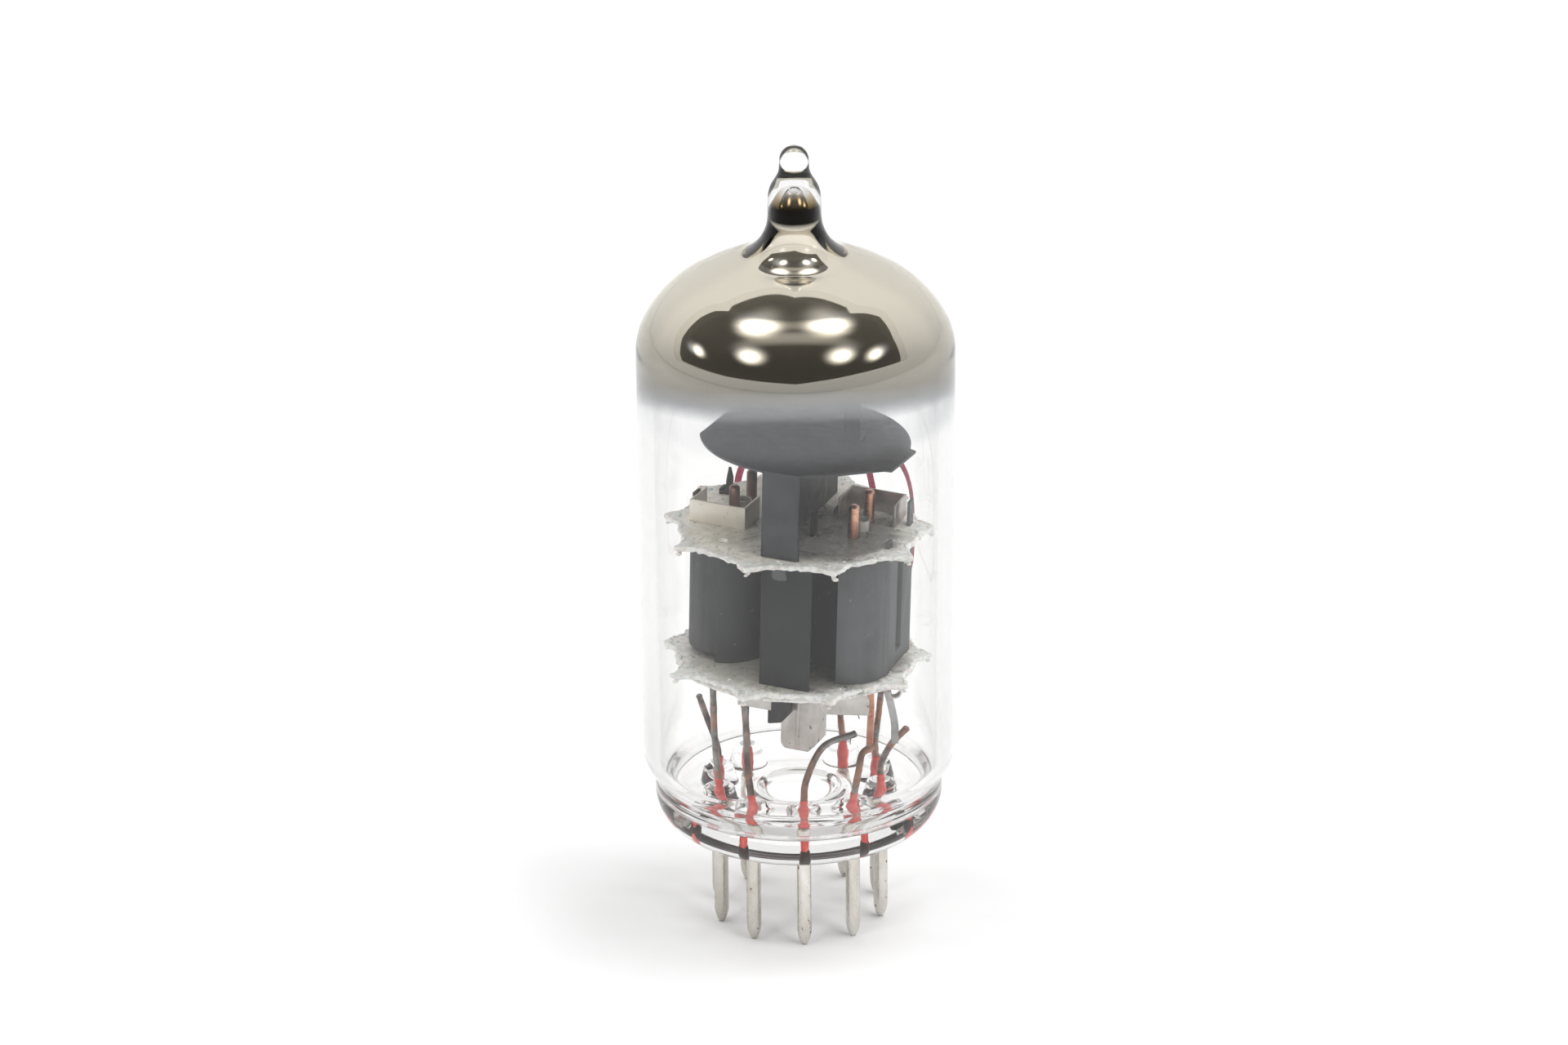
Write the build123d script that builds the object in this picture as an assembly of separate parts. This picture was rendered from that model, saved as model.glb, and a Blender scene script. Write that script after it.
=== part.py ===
from build123d import *
import os
from math import cos, radians, sin

# Nine-pin miniature (noval) double triode, all dimensions in millimetres.
#
# Frame: the origin is the centre of the circle of the nine pin tips, on the
# surface that the tube stands on. +Z is up along the bulb axis. The wide gap
# between pins 1 and 9 faces +Y, so pin 5 is at -Y.
#
# The electrode cage is drawn in its own frame, the cage frame, in which the two
# triodes stand side by side along X and the central screen lies along Y. The
# whole cage is then turned about Z into the bulb, where it leans a little.

os.makedirs("parts", exist_ok=True)

# ---- noval base -------------------------------------------------------------
PIN_CIRCLE = 11.89
PIN_DIAMETER = 1.016
PIN_COUNT = 9
PIN_STEP = 36.0
FIRST_PIN_ANGLE = 126.0
PIN_POINT = 1.0
PIN_POINT_FLAT = 0.36
PIN_SINK = 0.8
PIN_ROOT_RADIUS = 0.35

# ---- glass ------------------------------------------------------------------
OVERALL_HEIGHT = 57.2
BULB_RADIUS = 11.0
BULB_WALL = 1.2
GLASS_UNDERSIDE = 7.1
BUTTON_RADIUS = 10.15
BUTTON_FLAT = 6.8
BUTTON_TOP = 9.4
WELD_HEIGHT = 10.0
WELD_INNER_RADIUS = 8.9
STEP_LOW = 11.2
STEP_HIGH = 12.6
SHOULDER_HEIGHT = 42.5
DOME_ARCS = [(4.6, 30.0), (8.5, 51.0), (7.2, 61.0), (24.0, 70.0)]
NECK_RADIUS = 1.85
NECK_BORE = 1.25
NECK_END = 54.15
BORE_TOP = 54.2
FILM_TOP = 51.7
TIP_RADIUS = 1.02
TIP_START = 55.3
PEDESTAL_HEIGHT = 10.7
PEDESTAL_RADIUS = 1.3
RING_RADIUS = 3.0
RING_HALF_WIDTH = 0.45

# ---- getter -----------------------------------------------------------------
FILM_THICKNESS = 0.05
FILM_GAP = 0.03
FILM_LOW = 37.2

# ---- sealed wires -----------------------------------------------------------
SEAL_RADIUS = 0.43
BEAD_RADIUS = 0.52
BEAD_HEIGHT = 0.6
SEAL_NECK = 10.3
SEAL_TOP = 11.2
LEAD_RADIUS = 0.24

# ---- cage -------------------------------------------------------------------
CAGE_TURN = -25.0
CAGE_SHIFT = 0.45
CAGE_LEAN = 1.7
LEAN_HEIGHT = 25.2
SYSTEM_X = 4.43

UPPER_MICA = 29.95
LOWER_MICA = 20.4
MICA_THICKNESS = 0.3
MICA_RADIUS = 8.4
MICA_TIP_RADIUS = 9.6
MICA_TABS = 10
TAB_HALF_ANGLE = 8.5
HOLE_CLEARANCE = 0.06
SPARE_HOLE = (-3.4, -5.95)
SPARE_HOLE_RADIUS = 0.35
STANDING_GAP = 0.02

ANODE_RADIUS = 2.9
ANODE_HALF_LENGTH = 5.3
ANODE_SHEET = 0.2
ANODE_SEAM = 0.35
ANODE_LAP = 0.4
ANODE_LAP_GAP = 0.01
ANODE_RAISED_FOOT = 0.55
RIB_WIDTH = 1.1
RIB_DEPTH = 0.35
RIB_START = 1.0
LUG_WIDTH = 0.9
LUG_Y = 2.3
LUG_RISE = 1.75
LUG_STUB = 0.4
LUG_DROP = 1.1
LEAF_RISE = 1.95
LEAF_SET_IN = 0.55

ROD_RADIUS = 0.38
ROD_Y = 1.56
ROD_RISE = 2.35
ROD_DROP = 0.9
ROD_CHAMFER = 0.16
WINDING_TURNS = 16
WINDING_WIRE = 0.06
WINDING_X = 0.95
WINDING_Y = 2.02
WINDING_MARGIN = 0.3

CATHODE_RADIUS = 0.62
CATHODE_BORE = 0.5
CATHODE_RISE = 0.75
CATHODE_DROP = 0.5
HEATER_WIRE = 0.16
HEATER_GAP = 0.22
HEATER_RISE = 0.4
HEATER_DROP = 1.9

SCREEN_SHEET = 0.25
WEB_X = 0.1
WEB_FRONT = -7.4
WEB_REAR = 5.7
WEB_TABS = [(-6.3, -4.5), (2.6, 4.4)]
WEB_TAB_RISE = 1.2
FLANGE_END = 3.67
STEM_LEFT = 0.1
STEM_RIGHT = 2.7
STEM_LAP = 1.6
TAIL_FRONT = -5.7
TAIL_REAR = -1.75
TAIL_LOW = 16.0
TAIL_CORNER = 1.5

HOOD_TOP = 36.3
HOOD_SHEET = 0.2
HOOD_LEFT = -6.55
HOOD_RIGHT = 8.1
GETTER_LOW = 40.0
GETTER_HEIGHT = 0.8
GETTER_RADIUS = 3.8
GETTER_CHANNEL = 1.2

STRAP_HEIGHT = 1.6
STRAP_HALF_WIDTH = 2.1
STRAP_Y = 3.65
STRAP_WING = 2.65
STRAP_SHEET = 0.15
LEFT_STRAP_OFFSET = -0.39

SHIELD_CENTRE = (0.66, -0.25)
SHIELD_WIDTH = 2.6
SHIELD_DEPTH = 2.7
SHIELD_LOW = 13.1
SHIELD_HIGH = 18.7
SHIELD_SHEET = 0.18
SHIELD_CORNER = 0.6
SHIELD_RIB = 0.16
SHIELD_RIB_X = 0.07

MICA_UNDERSIDE = LOWER_MICA - 2 * MICA_THICKNESS
CAGE_HEIGHT = UPPER_MICA - MICA_THICKNESS - LOWER_MICA
CAVITY_RADIUS = BULB_RADIUS - BULB_WALL
STEM_FACE = WEB_FRONT - HOOD_SHEET - STANDING_GAP
UPPER_WEB_X = WEB_X + SCREEN_SHEET + 0.01


# ---- helpers ----------------------------------------------------------------
def save(name, *solids):
    """Write one named sub-part; several solids make one group."""
    shape = solids[0] if len(solids) == 1 else Compound(children=list(solids))
    export_step(shape, f"parts/{name}.step")


def joined(pieces):
    """One curve of several that meet end to end."""
    whole = pieces[0]
    for piece in pieces[1:]:
        whole += piece
    return whole


def turned(edges):
    """Solid of revolution about Z of a closed outline drawn as (radius, height)."""
    face = make_face(Plane.XZ * edges)
    return revolve(face, axis=Axis.Z, revolution_arc=360)


def block(x0, x1, y0, y1, z0, z1):
    """Box between two corners."""
    corner = (Align.MIN, Align.MIN, Align.MIN)
    return Pos(x0, y0, z0) * Box(x1 - x0, y1 - y0, z1 - z0, align=corner)


def rod(x, y, low, high, radius):
    """Upright round rod."""
    foot = (Align.CENTER, Align.CENTER, Align.MIN)
    return Pos(x, y, low) * Cylinder(radius, high - low, align=foot)


def bent_wire(points, bend, radius):
    """Round wire along straight runs joined by arcs."""
    path = FilletPolyline(*points, radius=bend)
    start = Plane(origin=path @ 0, z_dir=path % 0)
    return sweep(start * Circle(radius), path=path)


def leaning(shape):
    """Lean a shape sideways about a point at the middle of the cage."""
    return Pos(0, 0, LEAN_HEIGHT) * Rot(0, CAGE_LEAN, 0) * Pos(0, 0, -LEAN_HEIGHT) * shape


def in_cage(shape):
    """Move a shape from the cage frame into the bulb."""
    return leaning(Rot(0, 0, CAGE_TURN) * Pos(0, CAGE_SHIFT, 0) * shape)


def across(centre, width):
    """Two ends of a width about its centre."""
    return centre - width / 2, centre + width / 2


def pin_place(number):
    """Centre of pin NUMBER, counted 1 to 9 in the standard order."""
    angle = radians(FIRST_PIN_ANGLE + PIN_STEP * (number - 1))
    radius = PIN_CIRCLE / 2
    return radius * cos(angle), radius * sin(angle)


# ---- glass envelope ---------------------------------------------------------
def on_arc(centre, radius, angle):
    """Point of an arc in the (radius, height) plane, at an angle in degrees."""
    return centre[0] + radius * cos(radians(angle)), centre[1] + radius * sin(radians(angle))


def dome_edges(inset, neck):
    """Roof arcs and concave fillet of the dome, with its first and last point."""
    first = point = (BULB_RADIUS - inset, SHOULDER_HEIGHT)
    start = 0
    edges = []
    for radius, end in DOME_ARCS:
        reach = radius - inset
        back = on_arc((0, 0), reach, start)
        centre = (point[0] - back[0], point[1] - back[1])
        last = on_arc(centre, reach, end)
        edges.append(ThreePointArc(point, on_arc(centre, reach, (start + end) / 2), last))
        point, start = last, end
    fillet = (point[0] - neck) / (1 - cos(radians(start)))
    out = on_arc((0, 0), fillet, start)
    centre = (point[0] + out[0], point[1] + out[1])
    last = (neck, centre[1])
    middle = on_arc(centre, fillet, 180 + start / 2)
    edges.append(ThreePointArc(point, middle, last))
    return edges, first, last


def bore_end(foot, top):
    """Rounded end of the bore, from its wall to its highest point on the axis."""
    shoulder = (0.77 * foot[0], foot[1] + 0.64 * (top - foot[1]))
    return Spline(foot, shoulder, (0, top), tangents=((0, 1), (-1, 0)))


def glass_envelope():
    """Bulb, dome and closed exhaust tip in one piece of glass."""
    dome, shoulder, neck = dome_edges(0, NECK_RADIUS)
    base = Polyline(
        (BUTTON_RADIUS, WELD_HEIGHT),
        (BUTTON_RADIUS, STEP_LOW),
        (BULB_RADIUS - 0.15, STEP_HIGH - 0.5),
        (BULB_RADIUS, STEP_HIGH),
        shoulder,
    )
    nib = Polyline(
        neck,
        (NECK_RADIUS - 0.05, NECK_END),
        (TIP_RADIUS, TIP_START),
        (TIP_RADIUS, OVERALL_HEIGHT - TIP_RADIUS),
    )
    cap = TIP_RADIUS * sin(radians(45))
    tip = ThreePointArc(
        (TIP_RADIUS, OVERALL_HEIGHT - TIP_RADIUS),
        (cap, OVERALL_HEIGHT - TIP_RADIUS + cap),
        (0, OVERALL_HEIGHT),
    )
    inner_dome, inner_shoulder, bore = dome_edges(BULB_WALL, NECK_BORE)
    foot = Polyline(
        inner_shoulder,
        (CAVITY_RADIUS, STEP_HIGH),
        (WELD_INNER_RADIUS + 0.35, STEP_LOW - 0.2),
        (WELD_INNER_RADIUS, WELD_HEIGHT),
        (BUTTON_RADIUS, WELD_HEIGHT),
    )
    axis = Line((0, OVERALL_HEIGHT), (0, BORE_TOP))
    cavity = [bore_end(bore, BORE_TOP), *inner_dome, foot]
    return turned(joined([base, *dome, nib, tip, axis, *cavity]))


def getter_flash():
    """Thin metal film on the inside of the dome and of the neck."""
    far = BULB_WALL + FILM_GAP
    near = far + FILM_THICKNESS
    outside, shoulder, throat = dome_edges(far, NECK_BORE - FILM_GAP)
    inside, inner_shoulder, inner_throat = dome_edges(near, NECK_BORE - FILM_GAP - FILM_THICKNESS)
    skirt = Polyline(inner_shoulder, (inner_shoulder[0], FILM_LOW), (shoulder[0], FILM_LOW), shoulder)
    rim = Polyline(throat, (throat[0], FILM_TOP), (inner_throat[0], FILM_TOP), inner_throat)
    return turned(joined([skirt, *outside, rim, *inside]))


def button_stem():
    """Glass button with a raised ring and a pedestal around each seal."""
    edge = BUTTON_RADIUS
    outline = Polyline(
        (0, BUTTON_TOP),
        (0, GLASS_UNDERSIDE),
        (BUTTON_FLAT, GLASS_UNDERSIDE),
        (7.9, 7.3),
    )
    outline += ThreePointArc((7.9, 7.3), (9.5, 8.05), (edge, 9.5))
    outline += Polyline((edge, 9.5), (edge, WELD_HEIGHT), (WELD_INNER_RADIUS, WELD_HEIGHT))
    outline += ThreePointArc((WELD_INNER_RADIUS, WELD_HEIGHT), (8.72, 9.58), (8.3, BUTTON_TOP))
    outline += Line((8.3, BUTTON_TOP), (0, BUTTON_TOP))
    glass = turned(outline)
    glass += Pos(0, 0, BUTTON_TOP) * Torus(RING_RADIUS, RING_HALF_WIDTH)
    for number in range(1, PIN_COUNT + 1):
        x, y = pin_place(number)
        foot = BUTTON_TOP - 0.5
        pedestal = Cone(PEDESTAL_RADIUS + 0.15, PEDESTAL_RADIUS - 0.15, PEDESTAL_HEIGHT - foot)
        rim = pedestal.edges().sort_by(Axis.Z)[-1]
        pedestal = fillet(rim, 0.4)
        glass += Pos(x, y, (PEDESTAL_HEIGHT + foot) / 2) * pedestal
    for number in range(1, PIN_COUNT + 1):
        x, y = pin_place(number)
        bead_low = GLASS_UNDERSIDE + PIN_SINK
        glass -= rod(x, y, GLASS_UNDERSIDE - 1, bead_low, PIN_ROOT_RADIUS + 0.01)
        glass -= rod(x, y, bead_low, bead_low + BEAD_HEIGHT, BEAD_RADIUS + 0.01)
        glass -= rod(x, y, bead_low, PEDESTAL_HEIGHT + 1, SEAL_RADIUS + 0.01)
    return glass


# ---- pins, seals and leads --------------------------------------------------
def pin(number):
    """Round nickel pin with a blunt point and a thinner root in the glass."""
    x, y = pin_place(number)
    radius = PIN_DIAMETER / 2
    top = GLASS_UNDERSIDE + PIN_SINK
    flat = PIN_POINT_FLAT / 2
    outline = Polyline(
        (0, 0),
        (flat, 0),
        (0.8 * radius, 0.55 * PIN_POINT),
        (radius, PIN_POINT),
        (radius, GLASS_UNDERSIDE),
        (PIN_ROOT_RADIUS, GLASS_UNDERSIDE),
        (PIN_ROOT_RADIUS, top),
        (0, top),
        close=True,
    )
    return Pos(x, y, 0) * turned(outline)


def seal_wire(number):
    """Copper-clad sealing wire: a weld bead below, a sleeve of red oxide, a taper above."""
    x, y = pin_place(number)
    low = GLASS_UNDERSIDE + PIN_SINK
    outline = Polyline(
        (0, low),
        (BEAD_RADIUS, low),
        (BEAD_RADIUS, low + BEAD_HEIGHT),
        (SEAL_RADIUS, low + BEAD_HEIGHT),
        (SEAL_RADIUS, SEAL_NECK),
        (LEAD_RADIUS + 0.03, SEAL_TOP),
        (0, SEAL_TOP),
        close=True,
    )
    return Pos(x, y, 0) * turned(outline)


# Each lead rises from its seal, bends where the assembler bent it, and ends at
# its electrode or at a weld to a ribbon. Points are the corners of the bends.
LEAD_END = 19.4
LEAD_CORNERS = {
    1: [(-3.6, 4.8, 12.6), (-3.8, 4.5, 15.4), (-3.8, 4.0, LEAD_END)],
    2: [(-5.8, 1.8, 12.4), (-6.6, 1.4, 15.0), (-7.0, 1.1, 16.4)],
    3: [(-5.8, -1.8, 12.6), (-5.95, -1.6, 15.2), (-6.0, -1.1, LEAD_END)],
    4: [(-3.7, -4.8, 12.9), (-3.8, -3.9, 15.6), (-3.8, -3.0, LEAD_END)],
    5: [(0.2, -5.9, 12.9), (1.4, -5.5, 15.2), (3.6, -4.8, 15.8)],
    6: [(3.85, -4.7, 12.9), (4.15, -4.2, 14.0), (5.0, -3.3, 14.1)],
    7: [(5.65, -2.0, 12.2), (6.3, -2.7, 14.0), (7.2, -3.5, 15.5)],
    8: [(5.6, 1.6, 12.4), (5.75, 0.4, 15.2), (5.95, -1.1, LEAD_END)],
    9: [(3.35, 4.85, 12.6), (3.2, 4.75, 15.6), (3.1, 4.5, LEAD_END)],
}
LEAD_BEND = 0.8
COPPER_ROUTE = [(5.15, 1.5, 11.5), (5.15, 0.9, 13.2), (5.1, -0.4, 15.8), (4.9, -1.7, LEAD_END)]
COPPER_SECTION = (0.5, 0.2)
RIBBON_ROUTE = [(6.45, -3.3, 14.3), (6.35, -3.6, 16.3), (5.7, -4.0, LEAD_END)]
RIBBON_SECTION = (0.5, 0.12)
RIBBON_BEND = 0.6


def lead_wire(number):
    """Bent wire from the top of a seal into the cage."""
    x, y = pin_place(number)
    points = [(x, y, SEAL_TOP)] + LEAD_CORNERS[number]
    return bent_wire(points, LEAD_BEND, LEAD_RADIUS)


def ribbon(points, section):
    """Flat ribbon along a bent line."""
    path = FilletPolyline(*points, radius=RIBBON_BEND)
    start = Plane(origin=path @ 0, z_dir=path % 0, x_dir=(1, 0, 0))
    return sweep(start * Rectangle(*section), path=path)


def curled_tab():
    """Small open curl of strip under the edge of the lower mica."""
    radius, width, thickness = 0.4, 0.6, 0.12
    path = Plane.XZ * CenterArc((0, 0), radius, 150, 250)
    start = Plane(origin=path @ 0, z_dir=path % 0, x_dir=(0, 1, 0))
    curl = sweep(start * Rectangle(width, thickness), path=path)
    return Pos(6.2, -5.0, MICA_UNDERSIDE - radius - 0.35) * curl


# ---- micas ------------------------------------------------------------------
def on_circle(radius, degrees_round):
    """Point on a circle about the bulb axis."""
    angle = radians(degrees_round)
    return radius * cos(angle), radius * sin(angle)


def slot(x, y, width, length, low):
    """Rectangular hole through one mica, drawn in the cage frame."""
    x0, x1 = across(x, width + 2 * HOLE_CLEARANCE)
    y0, y1 = across(y, length + 2 * HOLE_CLEARANCE)
    return block(x0, x1, y0, y1, low - 1, low + 2)


def round_hole(x, y, radius, low):
    """Round hole through one mica, drawn in the cage frame."""
    return rod(x, y, low - 1, low + 2, radius + HOLE_CLEARANCE)


def cage_holes(low):
    """Everything that passes through both micas at each triode."""
    holes = []
    for system in (-1, 1):
        x = system * SYSTEM_X
        for side in (-1, 1):
            holes.append(round_hole(x, side * ROD_Y, ROD_RADIUS, low))
            for end in (-1, 1):
                holes.append(slot(x + lug_x(side), end * LUG_Y, ANODE_SHEET, LUG_WIDTH, low))
        holes.append(round_hole(x, 0, CATHODE_RADIUS, low))
    return holes


def mica_sheet(low, tip_radius):
    """Disc with a ring of small pointed tabs that grip the bulb."""
    step = 360 / MICA_TABS
    edges = []
    for tab in range(MICA_TABS):
        centre = step / 2 + step * tab
        rise = on_circle(MICA_RADIUS, centre - TAB_HALF_ANGLE)
        tip = on_circle(tip_radius, centre)
        fall = on_circle(MICA_RADIUS, centre + TAB_HALF_ANGLE)
        middle = on_circle(MICA_RADIUS, centre + step / 2)
        following = on_circle(MICA_RADIUS, centre + step - TAB_HALF_ANGLE)
        edges += [Line(rise, tip), Line(tip, fall), ThreePointArc(fall, middle, following)]
    face = make_face(edges)
    return Pos(0, 0, low) * extrude(face, amount=MICA_THICKNESS)


def pierced(sheet, holes):
    """Set a mica in the bulb, centred on its axis, and cut its holes."""
    sheet = leaning(Rot(0, 0, CAGE_TURN) * sheet)
    for hole in holes:
        sheet -= in_cage(hole)
    return sheet


def web_slots(low):
    """Slots for the tabs of the central screen."""
    x = WEB_X + SCREEN_SHEET / 2
    return [slot(x, (y0 + y1) / 2, SCREEN_SHEET, y1 - y0, low) for y0, y1 in WEB_TABS]


# ---- anodes -----------------------------------------------------------------
def half_radius(side):
    """Outer radius of an anode half; the left half nests inside the right one."""
    return ANODE_RADIUS if side > 0 else ANODE_RADIUS - ANODE_SHEET - ANODE_LAP_GAP


def lug_x(side):
    """Distance of a lug from the axis of its triode."""
    return side * (half_radius(side) - ANODE_SHEET / 2)


def anode_wall(side, low, top):
    """Oval wall of one half, cut off at the seam where the halves lap."""
    radius = half_radius(side)
    spread = 2 * (ANODE_HALF_LENGTH - ANODE_RADIUS)
    wall = SlotCenterToCenter(spread, 2 * radius, rotation=90)
    wall -= SlotCenterToCenter(spread, 2 * (radius - ANODE_SHEET), rotation=90)
    shell = Pos(0, 0, low) * extrude(wall, amount=top - low)
    if side > 0:
        x0, x1 = ANODE_SEAM, 2 * ANODE_RADIUS
    else:
        x0, x1 = -2 * ANODE_RADIUS, ANODE_SEAM + ANODE_LAP
    reach = 2 * ANODE_HALF_LENGTH
    return shell & block(x0, x1, -reach, reach, low, top)


def side_block(side, near, far, half_width, low, high):
    """Box at the side of a triode, from NEAR to FAR of its axis."""
    x0, x1 = sorted((side * near, side * far))
    return block(x0, x1, -half_width, half_width, low, high)


def anode_half(system, side):
    """Half of an oval anode: lapped, ribbed and carried by four lugs."""
    low = LOWER_MICA if side > 0 else LOWER_MICA + ANODE_RAISED_FOOT
    top = UPPER_MICA - MICA_THICKNESS
    shell = anode_wall(side, low, top)
    face = half_radius(side)
    floor = face - RIB_DEPTH
    rib_low = LOWER_MICA + RIB_START
    half_rib = RIB_WIDTH / 2
    backing = half_rib + ANODE_SHEET
    inner = face - ANODE_SHEET
    shell += side_block(side, floor - ANODE_SHEET, inner, backing, rib_low - ANODE_SHEET, top)
    shell -= side_block(side, floor, face + 1, half_rib, rib_low, top + 1)
    x0, x1 = across(lug_x(side), ANODE_SHEET)
    for end in (-1, 1):
        y0, y1 = across(end * LUG_Y, LUG_WIDTH)
        rise = LUG_RISE if end == side else LUG_STUB
        shell += block(x0, x1, y0, y1, top - 0.5, UPPER_MICA + rise)
        shell += block(x0, x1, y0, y1, LOWER_MICA - LUG_DROP, low + 0.5)
    if system < 0 and side < 0:
        shell += leaf_lug(x0, LUG_Y)
    return in_cage(Pos(system * SYSTEM_X, 0, 0) * shell)


def leaf_lug(x, y):
    """Pointed upper lug of the left anode, set in from its slot by a small foot."""
    low, half = UPPER_MICA + STANDING_GAP, LUG_WIDTH / 2
    tip = low + LEAF_RISE
    shoulder = low + 0.55 * LEAF_RISE
    outline = Polyline(
        (y - half, low),
        (y - half, shoulder),
        (y, tip),
        (y + half, shoulder),
        (y + half, low),
        close=True,
    )
    blade = extrude(Plane.YZ * make_face(outline), amount=ANODE_SHEET)
    foot = block(x, x + LEAF_SET_IN, y - half, y + half, low, low + ANODE_SHEET)
    return foot + Pos(x + LEAF_SET_IN, 0, 0) * blade


def anode_strap(system):
    """U-shaped strap of bright strip standing on the upper mica across an anode."""
    side = system
    half = STRAP_HALF_WIDTH
    face = side * STRAP_Y
    back = side * (STRAP_Y - STRAP_SHEET)
    wing_end = side * (STRAP_Y - STRAP_WING)
    low = UPPER_MICA + STANDING_GAP
    high = low + STRAP_HEIGHT
    y0, y1 = sorted((face, back))
    strap = block(-half, half, y0, y1, low, high)
    y0, y1 = sorted((face, wing_end))
    for edge in (-half, half - STRAP_SHEET):
        strap += block(edge, edge + STRAP_SHEET, y0, y1, low, high)
    offset = LEFT_STRAP_OFFSET if system < 0 else 0
    return in_cage(Pos(system * SYSTEM_X + offset, 0, 0) * strap)


# ---- grids, cathodes and heaters -------------------------------------------
def grid_rods(system):
    """The two copper side rods of one grid."""
    x = system * SYSTEM_X
    rods = []
    for side in (-1, 1):
        post = rod(x, side * ROD_Y, MICA_UNDERSIDE - ROD_DROP, UPPER_MICA + ROD_RISE, ROD_RADIUS)
        top_edge = post.edges().sort_by(Axis.Z)[-1]
        rods.append(in_cage(chamfer(top_edge, ROD_CHAMFER)))
    return rods


def grid_winding(system):
    """Closed turns of fine wire around the two side rods."""
    turn = Ellipse(WINDING_X + WINDING_WIRE, WINDING_Y + WINDING_WIRE)
    turn -= Ellipse(WINDING_X, WINDING_Y)
    ring = extrude(turn, amount=WINDING_WIRE)
    pitch = (CAGE_HEIGHT - 2 * WINDING_MARGIN) / (WINDING_TURNS - 1)
    low = LOWER_MICA + WINDING_MARGIN
    x = system * SYSTEM_X
    return [in_cage(Pos(x, 0, low + pitch * count) * ring) for count in range(WINDING_TURNS)]


def cathode(system):
    """Nickel tube through both micas."""
    x = system * SYSTEM_X
    low = MICA_UNDERSIDE - CATHODE_DROP
    high = UPPER_MICA + CATHODE_RISE
    tube = rod(x, 0, low, high, CATHODE_RADIUS)
    tube -= rod(x, 0, low - 1, high + 1, CATHODE_BORE)
    return in_cage(tube)


def heater(system):
    """Hairpin of coated wire inside the cathode tube."""
    low = MICA_UNDERSIDE - HEATER_DROP
    high = UPPER_MICA + HEATER_RISE
    gap = HEATER_GAP
    legs = [(-gap, 0, low), (-gap, 0, high), (gap, 0, high), (gap, 0, low)]
    wire = bent_wire(legs, 0.9 * gap, HEATER_WIRE)
    return in_cage(Pos(system * SYSTEM_X, 0, 0) * wire)


# ---- screens ----------------------------------------------------------------
def screen_tail(low):
    """Tail of the central screen below the lower mica, with one cut corner."""
    middle = (TAIL_FRONT + TAIL_REAR) / 2
    outline = Polyline(
        (TAIL_FRONT, low),
        (TAIL_FRONT, TAIL_LOW + TAIL_CORNER / 2),
        (middle, TAIL_LOW),
        (TAIL_REAR, TAIL_LOW),
        (TAIL_REAR, low),
        close=True,
    )
    return Pos(WEB_X, 0, 0) * extrude(Plane.YZ * make_face(outline), amount=SCREEN_SHEET)


def central_screen():
    """Screen between the triodes: a web with a bent front flange, tabs and a tail."""
    low, high = LOWER_MICA, UPPER_MICA - MICA_THICKNESS
    overlap = 0.5
    x0, x1 = WEB_X, WEB_X + SCREEN_SHEET
    y1 = WEB_FRONT + SCREEN_SHEET
    screen = block(x0, x1, WEB_FRONT, WEB_REAR, low, high)
    screen += block(x0, FLANGE_END, WEB_FRONT, y1, low, high)
    stem_high = UPPER_MICA + STEM_LAP
    screen += block(STEM_LEFT, STEM_RIGHT, WEB_FRONT, y1, high - overlap, stem_high)
    for front, rear in WEB_TABS:
        screen += block(x0, x1, front, rear, high - overlap, UPPER_MICA + WEB_TAB_RISE)
    return in_cage(screen + screen_tail(low + overlap))


def upper_screen():
    """Plate that carries the screen on up to the getter shield."""
    low = UPPER_MICA + STANDING_GAP
    high = HOOD_TOP - HOOD_SHEET - STANDING_GAP
    front = WEB_FRONT + SCREEN_SHEET + STANDING_GAP
    return in_cage(block(UPPER_WEB_X, UPPER_WEB_X + HOOD_SHEET, front, WEB_REAR, low, high))


def getter_shield():
    """Stem strip bent over at its top into a broad flat hood above the cage."""
    outline = Polyline(
        (STEM_LEFT, STEM_FACE),
        (STEM_RIGHT, STEM_FACE),
        (3.2, -7.15),
        (4.6, -6.35),
        (7.3, -4.05),
        (HOOD_RIGHT - 0.3, -4.0),
        (HOOD_RIGHT, 0.15),
        (HOOD_RIGHT - 0.5, 0.45),
    )
    outline += ThreePointArc((HOOD_RIGHT - 0.5, 0.45), (5.3, 4.85), (0, 6.95))
    outline += ThreePointArc((0, 6.95), (-3.9, 5.7), (HOOD_LEFT, 2.6))
    outline += Line((HOOD_LEFT, 2.6), (HOOD_LEFT, -2.95))
    outline += ThreePointArc((HOOD_LEFT, -2.95), (-3.6, -6.25), (STEM_LEFT, STEM_FACE))
    low = HOOD_TOP - HOOD_SHEET
    hood = Pos(0, 0, low) * extrude(make_face(outline), amount=HOOD_SHEET)
    stem_low = UPPER_MICA + 0.05
    stem_back = STEM_FACE + HOOD_SHEET
    stem = block(STEM_LEFT, STEM_RIGHT, STEM_FACE, stem_back, stem_low, HOOD_TOP)
    return in_cage(hood + stem)


def getter_ring():
    """Ring of upward open channel that held the getter metal."""
    sheet = 0.2
    inner = GETTER_RADIUS - GETTER_CHANNEL
    high = GETTER_LOW + GETTER_HEIGHT
    outline = Polyline(
        (inner, GETTER_LOW),
        (GETTER_RADIUS, GETTER_LOW),
        (GETTER_RADIUS, high),
        (GETTER_RADIUS - sheet, high),
        (GETTER_RADIUS - sheet, GETTER_LOW + sheet),
        (inner + sheet, GETTER_LOW + sheet),
        (inner + sheet, high),
        (inner, high),
        close=True,
    )
    return in_cage(Pos(UPPER_WEB_X, 0, 0) * turned(outline))


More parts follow.
